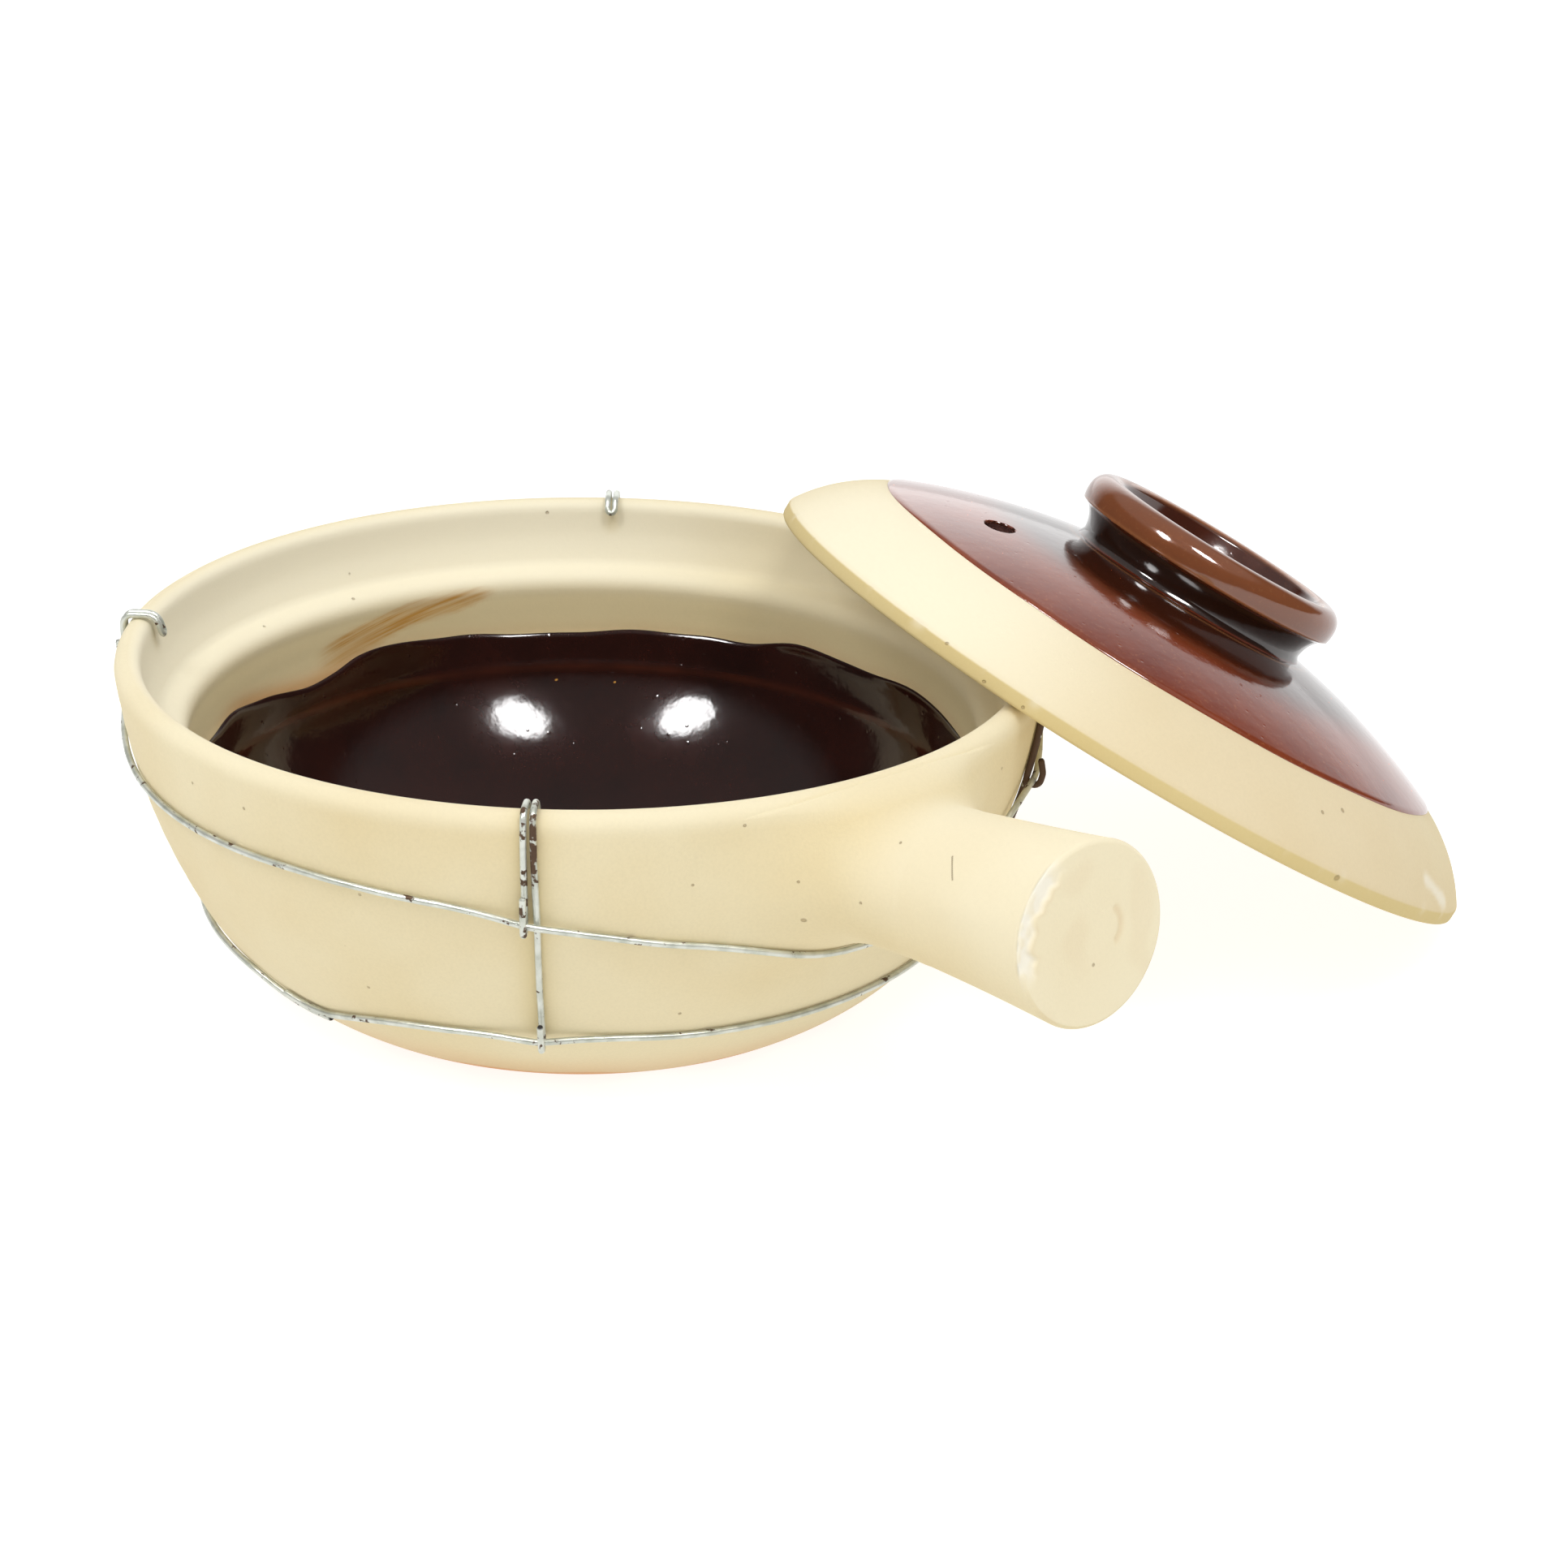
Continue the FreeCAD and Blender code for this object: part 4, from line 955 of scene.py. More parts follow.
paint_grid(handle, "pale", pale)
paint_grid(handle, "scuffed", 0.85 * chalky)
paint_grid(handle, "stained", 0.32 * tinted)
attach(handle, "pot")
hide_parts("handle")
print("handle faces:", len(handle.data.polygons))

# %% [markdown]
# ## The lid
# The lid is thrown upside down, a shallow dome with a flat ring at its edge. It is modelled lying
# level about its own axis and then leaned on the rim, so that its low edge lies on the table. The
# top is bare clay near the edge and glazed from there up to the knob. The edge was trimmed with a
# needle, which left a sharp line that has chipped here and there.

# %% Throw the lid
LID_BEARING = math.radians(67.1)
LID_TILT = math.radians(31.3)
LID_REACH, LID_RISE = 123.98, 45.31
lid_place = Vector((LID_REACH * math.cos(LID_BEARING), LID_REACH * math.sin(LID_BEARING),
                    LID_RISE))
lean = (Matrix.Translation(lid_place * MM) @ Matrix.Rotation(LID_BEARING, 4, "Z")
        @ Matrix.Rotation(LID_TILT, 4, "Y"))
LID_AROUND = 760
LID_EDGE = 87.8
CROWN, CROWN_CURVE, BAND, LID_WALL, SEAT = 32.7, 175.0, 70.9, 7.2, 4.0
BAND_CURVE = 39.0
CHIP_DEPTH = 0.32


def crown_height(radius, top=CROWN, curve=CROWN_CURVE):
    """Height of the dome over its own foot, at a radius."""
    return top - (curve - math.sqrt(curve * curve - radius * radius))


under_radius = BAND - SEAT
under_height = crown_height(under_radius, CROWN - LID_WALL, CROWN_CURVE - LID_WALL)
lid_line = template(
    [(0, CROWN - LID_WALL, CROWN_CURVE - LID_WALL, LEFT),
     (under_radius, under_height, BAND_CURVE - LID_WALL, LEFT),
     (LID_EDGE - SEAT, 0.0, None, 0), (LID_EDGE - 0.8, 0.0, 0.8, RIGHT), (LID_EDGE, 0.8, None, 0),
     (LID_EDGE, 2.85, 1.3, RIGHT), (LID_EDGE - 0.27, 3.58, BAND_CURVE, RIGHT),
     (BAND, crown_height(BAND), CROWN_CURVE, RIGHT), (0, CROWN, None, 0)], 1.0)


def edge_chips(bearing, radius, height):
    """Where the lid's sharp edge has chipped."""
    chips = soften(ripple(bearing, radius * 0.6, 5.0, 12), 0.30, 0.62)
    return chips * hill(height, 3.2, 1.1) * (radius > LID_EDGE - 2)


def lid_relief(bearing, radius, height):
    """Hand marks and a chipped edge, always a little inside the template."""
    marks = ripple(bearing, height + radius * 0.3, 30.0, 11)
    dents = (0.04 + 0.09 * (0.5 + 0.5 * marks)) * soften(radius, 72, 78)
    return -dents - CHIP_DEPTH * edge_chips(bearing, radius, height)


lid = thrown("clay_lid", lid_line, LID_AROUND, lid_relief)
lid.data.materials.append(clay)
print("lid faces:", len(lid.data.polygons))

# %% [markdown]
# ## The colours of the bare band
# The trimmed edge is yellower than the band above it. The band is painted palest on its upper
# side, as painted light, and a little rosy lower down. The chips are chalky, and so is a scuff at
# the low tip, where the lid has stood on tables. The scuff's places are written for the leaned lid
# and turned back onto the level one.

# %% Colour the band and scuff the tip
SCUFF = [(128.6, 130.5, 27.1), (127.9, 134.6, 23.2), (126.4, 139.7, 18.6)]
bearing, radius, height = places(lid)
band_top = (radius > BAND - 1) & (height > 3.3)
paint(lid, "yellowed", 0.75 * (1 - soften(height, 3.0, 3.7)) * soften(radius, 83, 86))
# Painted light: the upper side of the bare band is painted paler.
upper = 0.9 * soften(apart(bearing, -165.0), 65, 15)
paint(lid, "pale", band_top * upper)
paint(lid, "rosy", band_top * (1 - upper) * (0.1 + 0.4 * soften(apart(bearing, -100.0), 80, 30)))
scuff = np.array([np.array(lean.inverted() @ (Vector(spot) * MM)) / MM for spot in SCUFF])
lid_corners = corners_of(lid)
near = np.full(len(lid_corners), 99.0)
for start, end in zip(scuff, scuff[1:]):
    share = np.clip((lid_corners - start) @ (end - start) / ((end - start) @ (end - start)), 0, 1)
    foot = start + share[:, None] * (end - start)
    near = np.minimum(near, np.linalg.norm(lid_corners - foot, axis=1))
near += 0.8 * ripple(bearing, height, 4.0, 33)
scuffed = 0.6 * (1 - soften(near, 0.4, 2.6))
paint(lid, "scuffed", np.maximum(0.3 * edge_chips(bearing, radius, height), scuffed))
print("scuffed points:", int((scuffed > 0.3).sum()))

# %% [markdown]
# ## The glaze on the dome
# The same skin as in the bowl is laid over the dome, from the knob's foot to the line where a wet
# sponge wiped it off. It is painted darker towards the knob, as pooled glaze and as painted shade
# of the knob.

# %% Glaze the dome
DOME_FROM, DOME_TO, DOME_BEAD = 28.0, 72.5, 1.4
dome_line = template([(DOME_FROM, crown_height(DOME_FROM), CROWN_CURVE, LEFT),
                      (DOME_TO, crown_height(DOME_TO), None, 0)], STEP)


def band_lengths(degrees, line, length):
    """The glaze ends in a nearly true circle, as a sponge on a turning wheel leaves it."""
    turn = np.radians(degrees)
    edge = BAND + 0.20 * np.sin(turn * 3 + 1) + 0.10 * np.sin(turn * 11)
    return np.interp(edge, line[:, 0], length)


over, under = coat(dome_line, band_lengths, COAT, LID_AROUND, DOME_BEAD)
dome_coat = grid_mesh("dome_glaze_coat", np.concatenate((over, under[::-1])), True, None, None)
dome_coat.data.materials.append(brown_glaze)
bearing, radius, height = places(dome_coat)
paint(dome_coat, "thin", 0.30 * hill(radius, 30.6, 0.5) + 0.04 * soften(radius, 68.5, 71.0))
# Darker towards the knob: pooled glaze and painted shade of the knob.
paint(dome_coat, "pooled", 0.88 * (1 - soften(radius, 42.0, 55.0)))
print("dome glaze faces:", len(dome_coat.data.polygons))

# %% [markdown]
# ## The knob
# The knob is a hollow ring on a narrow waist, so that it can be lifted with two fingers and serves
# as a foot when the lid is turned over. The lip's crest is painted pale, as thin glaze and as a
# painted highlight. The hollow under the lip and the foot below it are painted almost black, as
# pooled glaze and as painted shade, and the foot also as a painted reflection of the dome.

# %% Throw the knob
KNOB_FOOT, CREST_RADIUS = 29.4, 26.4
knob_line = template(
    [(0, crown_height(0) - 1.0, None, 0), (28.4, crown_height(28.4) - 0.8, None, 0),
     (KNOB_FOOT, crown_height(KNOB_FOOT) + 0.1, 4.0, LEFT), (28.0, 32.2, 8.0, LEFT),
     (30.4, 37.5, None, 0), (31.8, 38.2, 9.0, RIGHT), (32.0, 41.6, 4.2, RIGHT),
     (25.2, 44.3, 40.0, LEFT), (20.5, 34.6, None, 0), (0, 34.6, None, 0)], 0.35)
knob = thrown("glazed_knob", knob_line, 420)
knob.data.materials.append(brown_glaze)
bearing, radius, height = places(knob)
outer = radius > CREST_RADIUS + 0.1
# Painted shade: the hollow under the lip, and the foot below it as the dome's painted reflection,
# are painted almost black.
under_lip_shade = soften(height, 30.4, 31.4) * (1 - soften(height, 37.2, 37.9)) * outer
foot = (1 - soften(height, 30.2, 30.9)) * outer
well = (radius < CREST_RADIUS - 0.9) * 0.25
paint(knob, "pooled", np.maximum(0.52 + well, 1.0 * under_lip_shade + 0.85 * foot))
arris = hill(np.hypot(radius - 31.7, height - 38.2), 0.0, 0.5)
# Painted highlight: the lip's crest is painted pale, as thin glaze and as a highlight.
crest_thin_and_highlight = hill(radius, CREST_RADIUS, 0.8) * (height > 44.0)
crest_thin_and_highlight = crest_thin_and_highlight * (0.7 + 0.3 * ripple(bearing, height, 9.0, 8))
lip_face = (height > 38.0) * outer
paint(knob, "thin", 0.50 * crest_thin_and_highlight + 0.25 * arris + 0.16 * lip_face)
print("knob faces:", len(knob.data.polygons))

# %% [markdown]
# ## The steam hole
# A hole was bored through the soft clay, and the glaze ran into its mouth. The same tool is cut
# out of the clay and out of the glaze with a Boolean, and then the whole lid is leaned.

# %% Bore the steam hole and lean the lid
HOLE_RADIUS, HOLE_REACH, HOLE_BEARING = 2.95, 53.3, math.radians(-173.6)
HOLE_LINE = [(0, 5.0, None, 0), (HOLE_RADIUS, 5.0, None, 0), (HOLE_RADIUS, 23.9, 1.4, RIGHT),
             (HOLE_RADIUS + 1.0, 25.1, None, 0), (HOLE_RADIUS + 1.0, 34.0, None, 0),
             (0, 34.0, None, 0)]
bore = thrown("steam_bore", template(HOLE_LINE, 0.5), 48)
bore.location = Vector((math.cos(HOLE_BEARING), math.sin(HOLE_BEARING), 0)) * HOLE_REACH * MM


def cut(piece, tool):
    """Cut one mesh out of another, and keep the result as plain faces."""
    change = piece.modifiers.new("cut", "BOOLEAN")
    change.operation = "DIFFERENCE"
    change.solver = "EXACT"
    change.object = tool
    view = bpy.context.evaluated_depsgraph_get()
    result = bpy.data.meshes.new_from_object(piece.evaluated_get(view))
    piece.modifiers.clear()
    piece.data = result


bpy.context.view_layer.update()
for piece in (lid, dome_coat):
    cut(piece, bore)
bearing, radius, height = places(lid)
from_hole = np.hypot(radius * np.cos(bearing) - HOLE_REACH * math.cos(HOLE_BEARING),
                     radius * np.sin(bearing) - HOLE_REACH * math.sin(HOLE_BEARING))
paint(lid, "glazed", (from_hole < HOLE_RADIUS + 1.6).astype(float))
bpy.data.objects.remove(bore)
for piece, node, slot in ((lid, "lid_body", "clay"), (dome_coat, "lid_glaze", "brown_glaze"),
                          (knob, "lid_knob", "brown_glaze")):
    piece.data.transform(lean)
    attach(piece, "lid")
    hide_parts(node)
print("lid leaned")

# %% [markdown]
# ## Bending wire
# The cage is bent cold, by hand and with pliers, so its runs are never quite straight. A wire here
# is a list of corners, each with the radius of its bend. The corners are rounded into arcs, the
# path is walked in short steps, and a round section is carried along it without twisting.

# %% Round the corners of a path
WIRE = 1.42
WIRE_SIDES = 14
WIRE_STEP = 0.45
LARGEST_SHARE, STRAIGHT_ENOUGH = 0.49, 0.002


def place_at(bearing, radius, height):
    """A point from its bearing in degrees, its radius and its height."""
    turn = math.radians(bearing)
    return np.array((radius * math.cos(turn), radius * math.sin(turn), height))


def rounded(corners, bends):
    """A path of straight runs joined by arcs; a bend of None is as large as fits."""
    path = [np.array([corners[0]])]
    for before, corner, after, bend in zip(corners, corners[1:], corners[2:], bends[1:]):
        back, on = before - corner, after - corner
        lengths = np.linalg.norm(back), np.linalg.norm(on)
        back, on = back / lengths[0], on / lengths[1]
        half = (math.pi - math.acos(float(np.clip(back @ on, -1, 1)))) / 2
        reach = LARGEST_SHARE * min(lengths)
        if bend is not None:
            reach = min(reach, bend * math.tan(half))
        if half < STRAIGHT_ENOUGH:
            path.append(np.array([corner]))
            continue
        radius = reach / math.tan(half)
        inward = (back + on) / np.linalg.norm(back + on)
        centre = corner + inward * math.hypot(radius, reach)
        start = corner + back * reach - centre
        square = np.cross(np.cross(start, corner + on * reach - centre), start)
        square = square / np.linalg.norm(square) * radius
        turns = np.linspace(0, 2 * half, max(4, int(2 * half * radius / WIRE_STEP) + 2))
        path.append(centre + np.cos(turns)[:, None] * start + np.sin(turns)[:, None] * square)
    path.append(np.array([corners[-1]]))
    return np.concatenate(path)


def stepped(path):
    """The same path walked in even steps."""
    length = np.concatenate(([0], np.cumsum(np.linalg.norm(np.diff(path, axis=0), axis=1))))
    at = np.linspace(0, length[-1], int(length[-1] / WIRE_STEP) + 1)
    return np.stack([np.interp(at, length, path[:, axis]) for axis in range(3)], 1)


corner_path = rounded(np.array([(0, 0, 0), (10, 0, 0), (10, 10, 0)], float), [None, 3.0, None])
print("a corner of radius 3 is walked in", len(stepped(corner_path)), "steps")

# %% [markdown]
# ## Drawing the wire
# A ring of points is carried along the path. At each step the ring is turned only as much as the
# path turns, so the wire has no twist. Small lumps stand for the uneven zinc, and the cut ends are
# a little pinched. How worn the zinc is comes in as a number for each length along the wire.

# %% Draw a wire along a path
START_SIDE = (0.3, 0.2, 0.9)
LUMP_HEIGHT, LUMP_LENGTH, PINCHED, BARE_END = 0.03, 2.6, 0.72, 0.3


def drawn(name, path, rubbed):
    """A round wire; the last argument gives wear and painted shade from the length and the whole
    length.
    """
    path = stepped(path)
    along = np.gradient(path, axis=0)
    along /= np.linalg.norm(along, axis=1, keepdims=True)
    side = np.cross(along[0], START_SIDE)
    sides = []
    for way in along:
        side = side - way * (side @ way)
        side /= np.linalg.norm(side)
        sides.append(side)
    sides = np.array(sides)
    turns = np.linspace(0, 2 * math.pi, WIRE_SIDES, endpoint=False)
    ring = (np.cos(turns)[:, None] * sides[:, None] + np.sin(turns)[:, None]
            * np.cross(along, sides)[:, None])
    lumps = LUMP_HEIGHT * soft_noise((path[:, None] + 3 * ring) / LUMP_LENGTH)
    thick = WIRE / 2 - 0.02 + np.clip(lumps, -LUMP_HEIGHT, 0.02)
    ends = np.ones(len(path))
    ends[0] = ends[-1] = PINCHED
    points = path[:, None] + ring * (thick * ends[:, None])[..., None]
    wire = grid_mesh(name, points, False, path[0].tolist(), path[-1].tolist())
    wire.data.materials.append(wire_finish)
    length = np.arange(len(path)) * WIRE_STEP
    wear = np.repeat(rubbed(length, length[-1])[:, None], WIRE_SIDES, 1)
    bare = np.where(length < BARE_END, 0.4, 1.0 * (length > length[-1] - BARE_END))
    paint_grid(wire, "rubbed", wear)
    paint_grid(wire, "cut_end", np.repeat(bare[:, None], WIRE_SIDES, 1))
    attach(wire, "pot")
    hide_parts(name.replace("bent_", ""))
    return wire


print("wire ready")

# %% [markdown]
# ## The two hoops
# The upper hoop runs below the rim and is pulled down under the handle. The lower hoop runs round
# the foot and sags a little where its ends lap. Both are bent round the pot by hand, step out
# over each tie and lie close to the clay between them.

# %% Write down the hoops' courses
CLEAR = 0.06
BESIDE = WIRE / 2 + CLEAR
OVER = 2.4
# Where each hoop runs: bearing in degrees and height.
UPPER_COURSE = [
    (-180, 61.5), (-140, 60.6), (-125, 57.8), (-113, 55.3), (-100, 54.7), (-85, 54.6), (-70, 54.6),
    (-60, 53.7), (-50, 52.4), (-44, 50.7), (-35, 47.2), (-25, 43.8), (-15, 41.3), (-8, 39.8),
    (-2, 38.4), (4, 36.8), (10, 35.2), (16, 36.4), (24, 42.6), (36, 53.6), (56, 58.6), (90, 61.0),
    (140, 62.0),
]
LOWER_COURSE = [
    (-180, 19.8), (-140, 19.8), (-120, 19.4), (-105, 18.5), (-97, 17.3), (-90, 14.5), (-85, 13.2),
    (-80, 13.4), (-75, 15.3), (-70, 17.2), (-64, 18.6), (-56, 19.3), (-43, 20.1), (-35, 19.6),
    (-25, 18.8), (-10, 18.4), (10, 18.6), (60, 19.6), (120, 19.8),
]
UPPER_JOIN, LOWER_JOIN, LAP = 168.0, -89.5, 13.0
UPPER_TIES, LOWER_TIES = (-43.7, -137.0, 138.5, 36.6), (-43.9, -138.0, 138.0, 36.4)


def hoop_height(course, bearing):
    """Height of a hoop at bearings in degrees."""
    return round_the_pot(course, (np.asarray(bearing, float) + 180) % 360 - 180)


def off_the_wall(height, along, out):
    """Radius and height of a point some way up the wall from a height, and off it."""
    slope = wall_radius(height + 0.5) - wall_radius(height - 0.5)
    length = np.sqrt(1 + slope**2)
    up_wall = height + along / length
    return wall_radius(up_wall) + out / length, up_wall - out * slope / length


print("upper hoop at the handle:", round(float(hoop_height(UPPER_COURSE, 0.0)), 1), "mm high")

# %% [markdown]
# ## Bending a hoop
# A hoop is walked round the pot in quarter degrees. Near a tie it is lifted off the clay, because
# the tie's leg passes under it, and small kinks keep it from looking machined. Where the handle
# stands in its way, it is slid down onto the handle's smoothed joint.

# %% Bend the hoops
BEARING_STEP, LIFT_REACH, LIFT_ROUND, LIFT_MORE = 0.25, 12.5, 1.5, 1.2
KINK_LENGTH, SWELL_LENGTH, KINK_HEIGHT = 9, 14, 0.10
HOOP_WEAR = 0.15


def hoop(name, course, ties, join, side):
    """Bend a hoop whose last end laps above or below its first."""
    lap = math.degrees(LAP / wall_radius(hoop_height(course, join)))
    bearing = np.arange(join - 360, join + lap, BEARING_STEP)
    near = np.min([np.abs((bearing - tie + 180) % 360 - 180) for tie in ties], axis=0)
    lifted = np.clip(1 - np.sqrt(near**2 + LIFT_ROUND) / LIFT_REACH, 0, 1)
    out = BESIDE + (OVER - BESIDE) * LIFT_MORE * lifted**2
    still = bearing * 0
    kinks = soft_noise(np.stack((bearing / KINK_LENGTH, still + side, still), -1))
    swell = soft_noise(np.stack((bearing / SWELL_LENGTH, still + 5, still + side), -1))
    height = hoop_height(course, bearing) + KINK_HEIGHT * kinks
    height = height + side * (WIRE + CLEAR) * soften(bearing, join - 6, join + 0.5)
    radius, height = off_the_wall(height, 0.0, out + KINK_HEIGHT * (0.5 + 0.5 * swell))
    path = np.array([place_at(*point) for point in zip(bearing, radius, height)])
    pressed = melted_gap(path) < BESIDE
    path[pressed] = slid_on(path[pressed], level=BESIDE)
    return drawn(name, path, lambda length, whole: HOOP_WEAR + 0 * length)


upper = hoop("bent_upper_hoop", UPPER_COURSE, UPPER_TIES, UPPER_JOIN, 1.0)
lower = hoop("bent_lower_hoop", LOWER_COURSE, LOWER_TIES, LOWER_JOIN, -1.0)
print("hoop faces:", len(upper.data.polygons), len(lower.data.polygons))

# %% [markdown]
# ## The four ties
# Each tie is one wire bent double. Its loop hangs over the rim, one leg is hooked round the upper
# hoop and the other goes on down and is hooked round the lower. The hooks are closed with pliers,
# so the zinc is marked there and the iron shows. A leg is a list of corners down the wall, so it
# follows the pot's outline.

# %% Plan the legs of a tie
HOOK_BEND = WIRE + 0.17
PITCH, SPREAD = 0.93, 1.25
WALL_STATIONS = 10
WAVER_DEGREES, WAVER_LENGTH = 0.06, 6.0


def leg(rim, upper_at, lower_at, offset, through, ends):
    """Corners and bends of one leg, from over the rim down to the end of its hook."""
    lip_way = LIP + BESIDE
    near = math.degrees(PITCH / RIM[0]) * offset
    spread = math.degrees(SPREAD / RIM[0]) * offset
    corners = [(place_at(rim + near, RIM[0] - LIP - lip_way, RIM[1] + lip_way), lip_way),
               (place_at(rim + near, RIM[0] - LIP + lip_way, RIM[1] + lip_way), lip_way)]
    runs = [(rim + near, RIM[1]),
            (upper_at + spread, float(hoop_height(UPPER_COURSE, upper_at)))]
    if through:
        runs.append((lower_at + spread, float(hoop_height(LOWER_COURSE, lower_at))))
    for number, ((from_bearing, top), (to_bearing, foot)) in enumerate(zip(runs, runs[1:])):
        for share in np.linspace(0, 1, WALL_STATIONS, endpoint=False)[0 if number else 1:]:
            height = top + (foot - top) * share
            bearing = from_bearing + (to_bearing - from_bearing) * share
            bearing += WAVER_DEGREES * noise.noise((height / WAVER_LENGTH, offset * 3.0, rim))
            radius, height = off_the_wall(height, 0.0, BESIDE)
            corners.append((place_at(bearing, radius, height), None))
    bearing, hook_height = runs[-1]
    length, turn, out = ends
    hook = [(HOOK_BEND, -HOOK_BEND, 0, None), (-HOOK_BEND, -HOOK_BEND, 0, HOOK_BEND),
            (-HOOK_BEND, HOOK_BEND, 0, HOOK_BEND), (HOOK_BEND, HOOK_BEND, turn * 0.4, 3.0),
            (length, out, turn, None)]
    for along, off, aside, bend in hook:
        radius, height = off_the_wall(hook_height, along, OVER + off)
        corners.append((place_at(bearing + aside, radius, height), bend))
    return corners


print("the legs stand", 2 * PITCH, "mm apart at the rim and", 2 * SPREAD, "mm at the hoop")

# %% [markdown]
# ## Bending a tie
# The course runs from the short leg's hook over the rim, round the loop on the inside of the lip,
# and down the long leg. The wear is written along this course. The right tie stands in the lid's
# shade and is painted dark along its whole length, as rust and as painted shade.

# %% Bend the ties
def tie(name, rim, upper_at, lower_at, upper_end, lower_end, drop, wear):
    """Bend one tie; each end gives its hook's length, its turn aside and how far out it ends."""
    short = leg(rim, upper_at, lower_at, -1.0, False, upper_end)
    long = leg(rim, upper_at, lower_at, 1.0, True, lower_end)
    near = math.degrees(PITCH / RIM[0])
    inside = RIM[0] - 2 * LIP - BESIDE - LIP / 2
    loop = [(place_at(rim + turn, inside, RIM[1] - drop), PITCH) for turn in (-near, near)]
    course = short[::-1] + loop + long
    path = rounded([corner for corner, _ in course], [bend for _, bend in course])
    return drawn(name, path, lambda length, whole: np.interp(length, *wear))


# Where the zinc is worn: lengths along the tie from its upper hook, and the wear at each.
FRONT_WEAR = ((0, 9, 15, 56, 60, 74, 78, 110),
              (0.36, 0.40, 0.26, 0.20, 0.46, 0.46, 0.14, 0.24))
SIDE_WEAR = ((0, 12, 20, 100), (0.32, 0.32, 0.12, 0.16))
# The tie in the lid's shade is painted dark all along: rust and painted shade together.
SHADED_WEAR = ((0, 60, 100), (0.80, 0.80, 0.60))
# How a hook ends: how far up the wall, its turn aside in degrees, and how far out.
LONG_END, SHORT_END = (8.2, 0.12, HOOK_BEND - 0.35), (7.5, 0.10, HOOK_BEND - 0.35)
CLOSE_END = (4.6, 0.10, 0.3)
# Each tie: its bearings at the rim and the hoops, its two ends, how low its loop is, and its wear.
TIES = [
    ("bent_front_tie", -43.7, -43.7, -44.0, LONG_END, SHORT_END, 1.0, FRONT_WEAR),
    ("bent_left_tie", -135.5, -137.0, -138.0, LONG_END, SHORT_END, 0.6, SIDE_WEAR),
    ("bent_back_tie", 138.5, 138.5, 138.0, LONG_END, SHORT_END, -0.8, SIDE_WEAR),
    ("bent_right_tie", 36.8, 36.6, 36.4, CLOSE_END, CLOSE_END, 1.0, SHADED_WEAR),
]
for plan in TIES:
    tie(*plan)
print("ties bent")

# %% [markdown]
# ## The table
# The photograph was taken on a white sweep with two tall softboxes, both in front. The floor is
# white and glows a little, as a lit sweep does, and it still keeps the pot's soft shadow.

# %% Lay the floor
FLOOR_SEEN, FLOOR_GLOW, FLOOR_BASE = 0.80, 0.58, 0.42
FLOOR_HALF, FLOOR_BELOW = 6.0, 0.0002


def make_floor():
    """A wide white floor that keeps the shadow."""
    mesh = bpy.data.meshes.new("floor")
    half = FLOOR_HALF
    corners = [(-half, -half, 0), (half, -half, 0), (half, half, 0), (-half, half, 0)]
    mesh.from_pydata(corners, [], [(0, 1, 2, 3)])
    floor = bpy.data.objects.new("floor", mesh)
    bpy.context.scene.collection.objects.link(floor)
    floor.location.z = -FLOOR_BELOW
    finish, tree, shader = new_finish("white_floor")
    shader.inputs["Base Color"].default_value = (FLOOR_BASE, FLOOR_BASE, FLOOR_BASE, 1)
    shader.inputs["Roughness"].default_value = 0.9
    shader.inputs["Specular IOR Level"].default_value = 0.0
    shader.inputs["Emission Color"].default_value = (1, 1, 1, 1)
    path = add(tree, "LightPath")
    seen = sum_of(tree, "MAXIMUM", path.outputs["Is Camera Ray"], path.outputs["Is Glossy Ray"])
    glow = add(tree, "MapRange", Value=seen, To_Min=FLOOR_GLOW, To_Max=FLOOR_SEEN)
    tree.links.new(glow.outputs["Result"], shader.inputs["Emission Strength"])
    mesh.materials.append(finish)


make_floor()
print("floor is", 2 * FLOOR_HALF, "m wide")

# %% [markdown]
# ## The air
# The world is white to the eye and gives an even, soft light. A glaze mirrors something else: the
# white sweep behind the pot, a grey ceiling, and a dark room in front. That is why the dome looks
# pale and hazy on its far side and deep brown on its near side.

# %% Fill the air
AIR_LIGHT, AIR_CEILING, AIR_FRONT, AIR_BEHIND = 0.80, 0.42, 0.06, 1.8
BEHIND_WAY, BEHIND_FROM, BEHIND_TO = (-0.76, 0.65, 0.0), 0.66, 0.95
CEILING_FROM, CEILING_TO = 0.55, 0.68


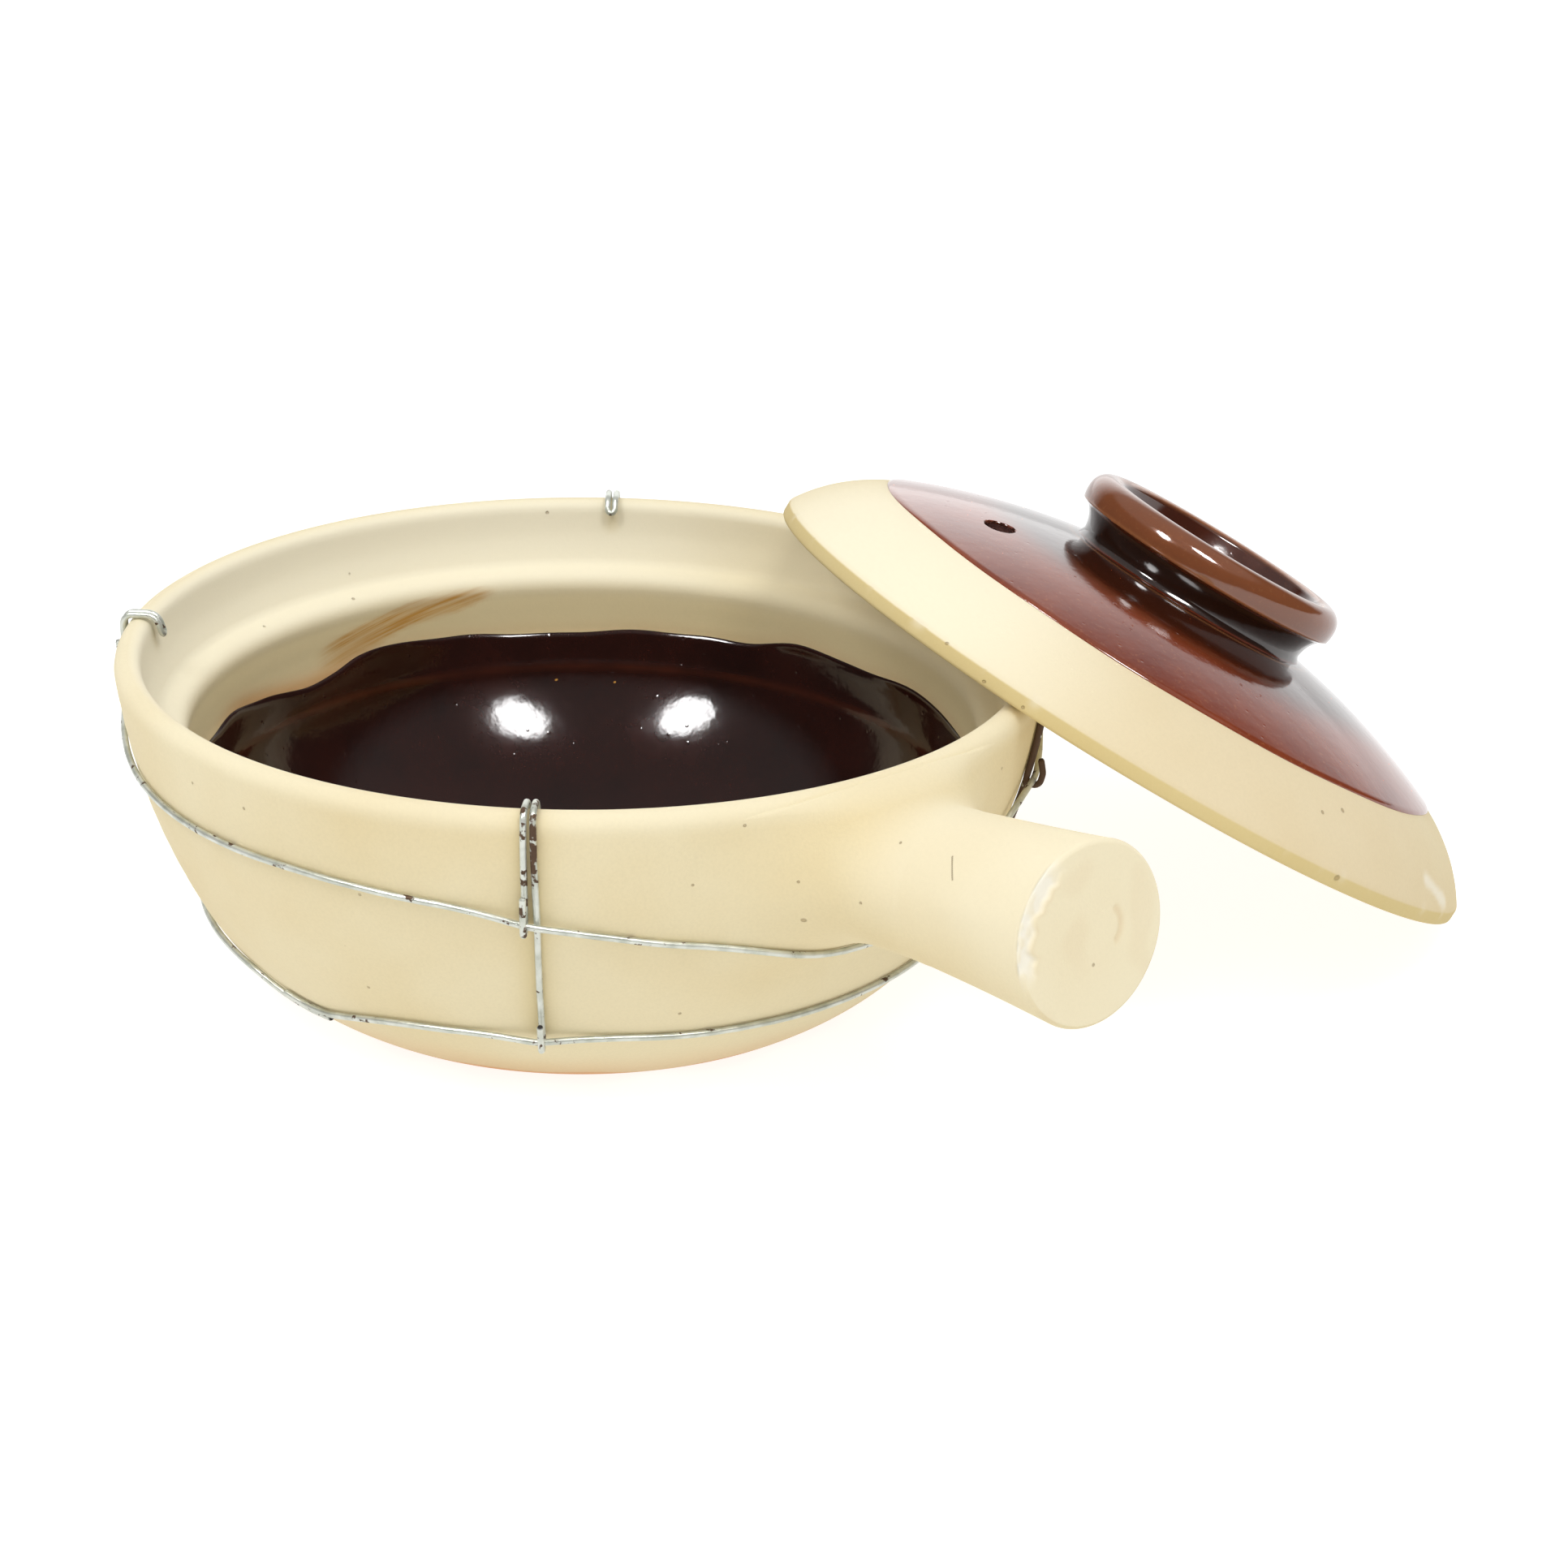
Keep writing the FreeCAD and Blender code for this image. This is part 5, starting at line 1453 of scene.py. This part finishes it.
def make_air():
    """White to the eye, white behind the pot and dark in front of it in the glaze's mirror."""
    world = bpy.data.worlds.new("air")
    bpy.context.scene.world = world
    world.use_nodes = True
    tree = world.node_tree
    ground = tree.nodes["Background"]
    ground.inputs["Color"].default_value = (1, 1, 1, 1)
    way = add(tree, "TexCoord").outputs["Generated"]
    behind = add(tree, "MapRange", Value=along_way(tree, way, BEHIND_WAY),
                 From_Min=BEHIND_FROM, From_Max=BEHIND_TO,
                 To_Min=AIR_FRONT, To_Max=AIR_BEHIND).outputs["Result"]
    high = add(tree, "MapRange", Value=along_way(tree, way, (0.0, 0.0, 1.0)),
               From_Min=CEILING_FROM, From_Max=CEILING_TO).outputs["Result"]
    low = sum_of(tree, "SUBTRACT", 1.0, high)
    mirrored = sum_of(tree, "ADD", sum_of(tree, "MULTIPLY", behind, low),
                      sum_of(tree, "MULTIPLY", high, AIR_CEILING))
    path = add(tree, "LightPath")
    clear = sum_of(tree, "MAXIMUM", path.outputs["Is Camera Ray"],
                   path.outputs["Is Transmission Ray"])
    glossy = path.outputs["Is Glossy Ray"]
    rest = sum_of(tree, "SUBTRACT", sum_of(tree, "SUBTRACT", 1.0, clear), glossy)
    total = sum_of(tree, "ADD", clear, sum_of(tree, "MULTIPLY", glossy, mirrored))
    total = sum_of(tree, "ADD", total, sum_of(tree, "MULTIPLY", rest, AIR_LIGHT))
    tree.links.new(total, ground.inputs["Strength"])


make_air()
print("air gives", AIR_LIGHT, "of soft light")

# %% [markdown]
# ## The two softboxes
# Each softbox is an area lamp, which gives the light, and a white cloth just behind it, which only
# a mirror sees. The cloth makes the two bright highlights in the glaze. Their places come from
# those highlights: a mirror shows a lamp where the two angles are equal.

# %% Set the lamps
LAMP_POWER, LAMP_GLARE = 2.75, 42.0
LAMP_WIDE, LAMP_TALL, LAMP_CORNERS = 0.27, 0.42, 48
CLOTH_BEHIND, AIM_HEIGHT = 0.004, 0.04
LAMP_PLACES = (("softbox_right", (0.665, -0.067, 1.098)), ("softbox_left", (0.074, -0.760, 1.030)))


def lamp_face(name, matrix):
    """The white cloth of a softbox, which only mirrors see; the lamp itself gives the light."""
    turns = np.linspace(0, 2 * math.pi, LAMP_CORNERS, endpoint=False)
    edge = np.stack((LAMP_WIDE / 2 * np.cos(turns), LAMP_TALL / 2 * np.sin(turns), 0 * turns), 1)
    mesh = bpy.data.meshes.new(name)
    mesh.from_pydata(edge.tolist(), [], [tuple(range(LAMP_CORNERS))])
    face = bpy.data.objects.new(name, mesh)
    bpy.context.scene.collection.objects.link(face)
    face.matrix_world = matrix @ Matrix.Translation((0, 0, -CLOTH_BEHIND))
    finish, tree, shader = new_finish(name + "_cloth")
    cloth = add(tree, "Emission")
    path = add(tree, "LightPath")
    glare = sum_of(tree, "MULTIPLY", path.outputs["Is Glossy Ray"], LAMP_GLARE)
    tree.links.new(glare, cloth.inputs["Strength"])
    clear = add(tree, "BsdfTransparent")
    mixed = add(tree, "MixShader", Fac=path.outputs["Is Glossy Ray"])
    tree.links.new(clear.outputs[0], mixed.inputs[1])
    tree.links.new(cloth.outputs[0], mixed.inputs[2])
    tree.links.new(mixed.outputs[0], tree.nodes["Material Output"].inputs["Surface"])
    tree.nodes.remove(shader)
    finish.cycles.emission_sampling = "NONE"
    mesh.materials.append(finish)


def softbox(name, place, power):
    """A tall oval lamp that points at the pot."""
    data = bpy.data.lights.new(name, "AREA")
    data.shape = "ELLIPSE"
    data.size, data.size_y = LAMP_WIDE, LAMP_TALL
    data.energy = power
    lamp = bpy.data.objects.new(name, data)
    bpy.context.scene.collection.objects.link(lamp)
    lamp.location = Vector(place)
    lamp.rotation_mode = "QUATERNION"
    turn = (Vector(place) - Vector((0, 0, AIM_HEIGHT))).to_track_quat("Z", "Y")
    lamp.rotation_quaternion = turn
    lamp_face(name + "_face", Matrix.Translation(Vector(place)) @ turn.to_matrix().to_4x4())


for name, place in LAMP_PLACES:
    softbox(name, place, LAMP_POWER)
bpy.context.scene.view_settings.view_transform = "Standard"
print("stage set")
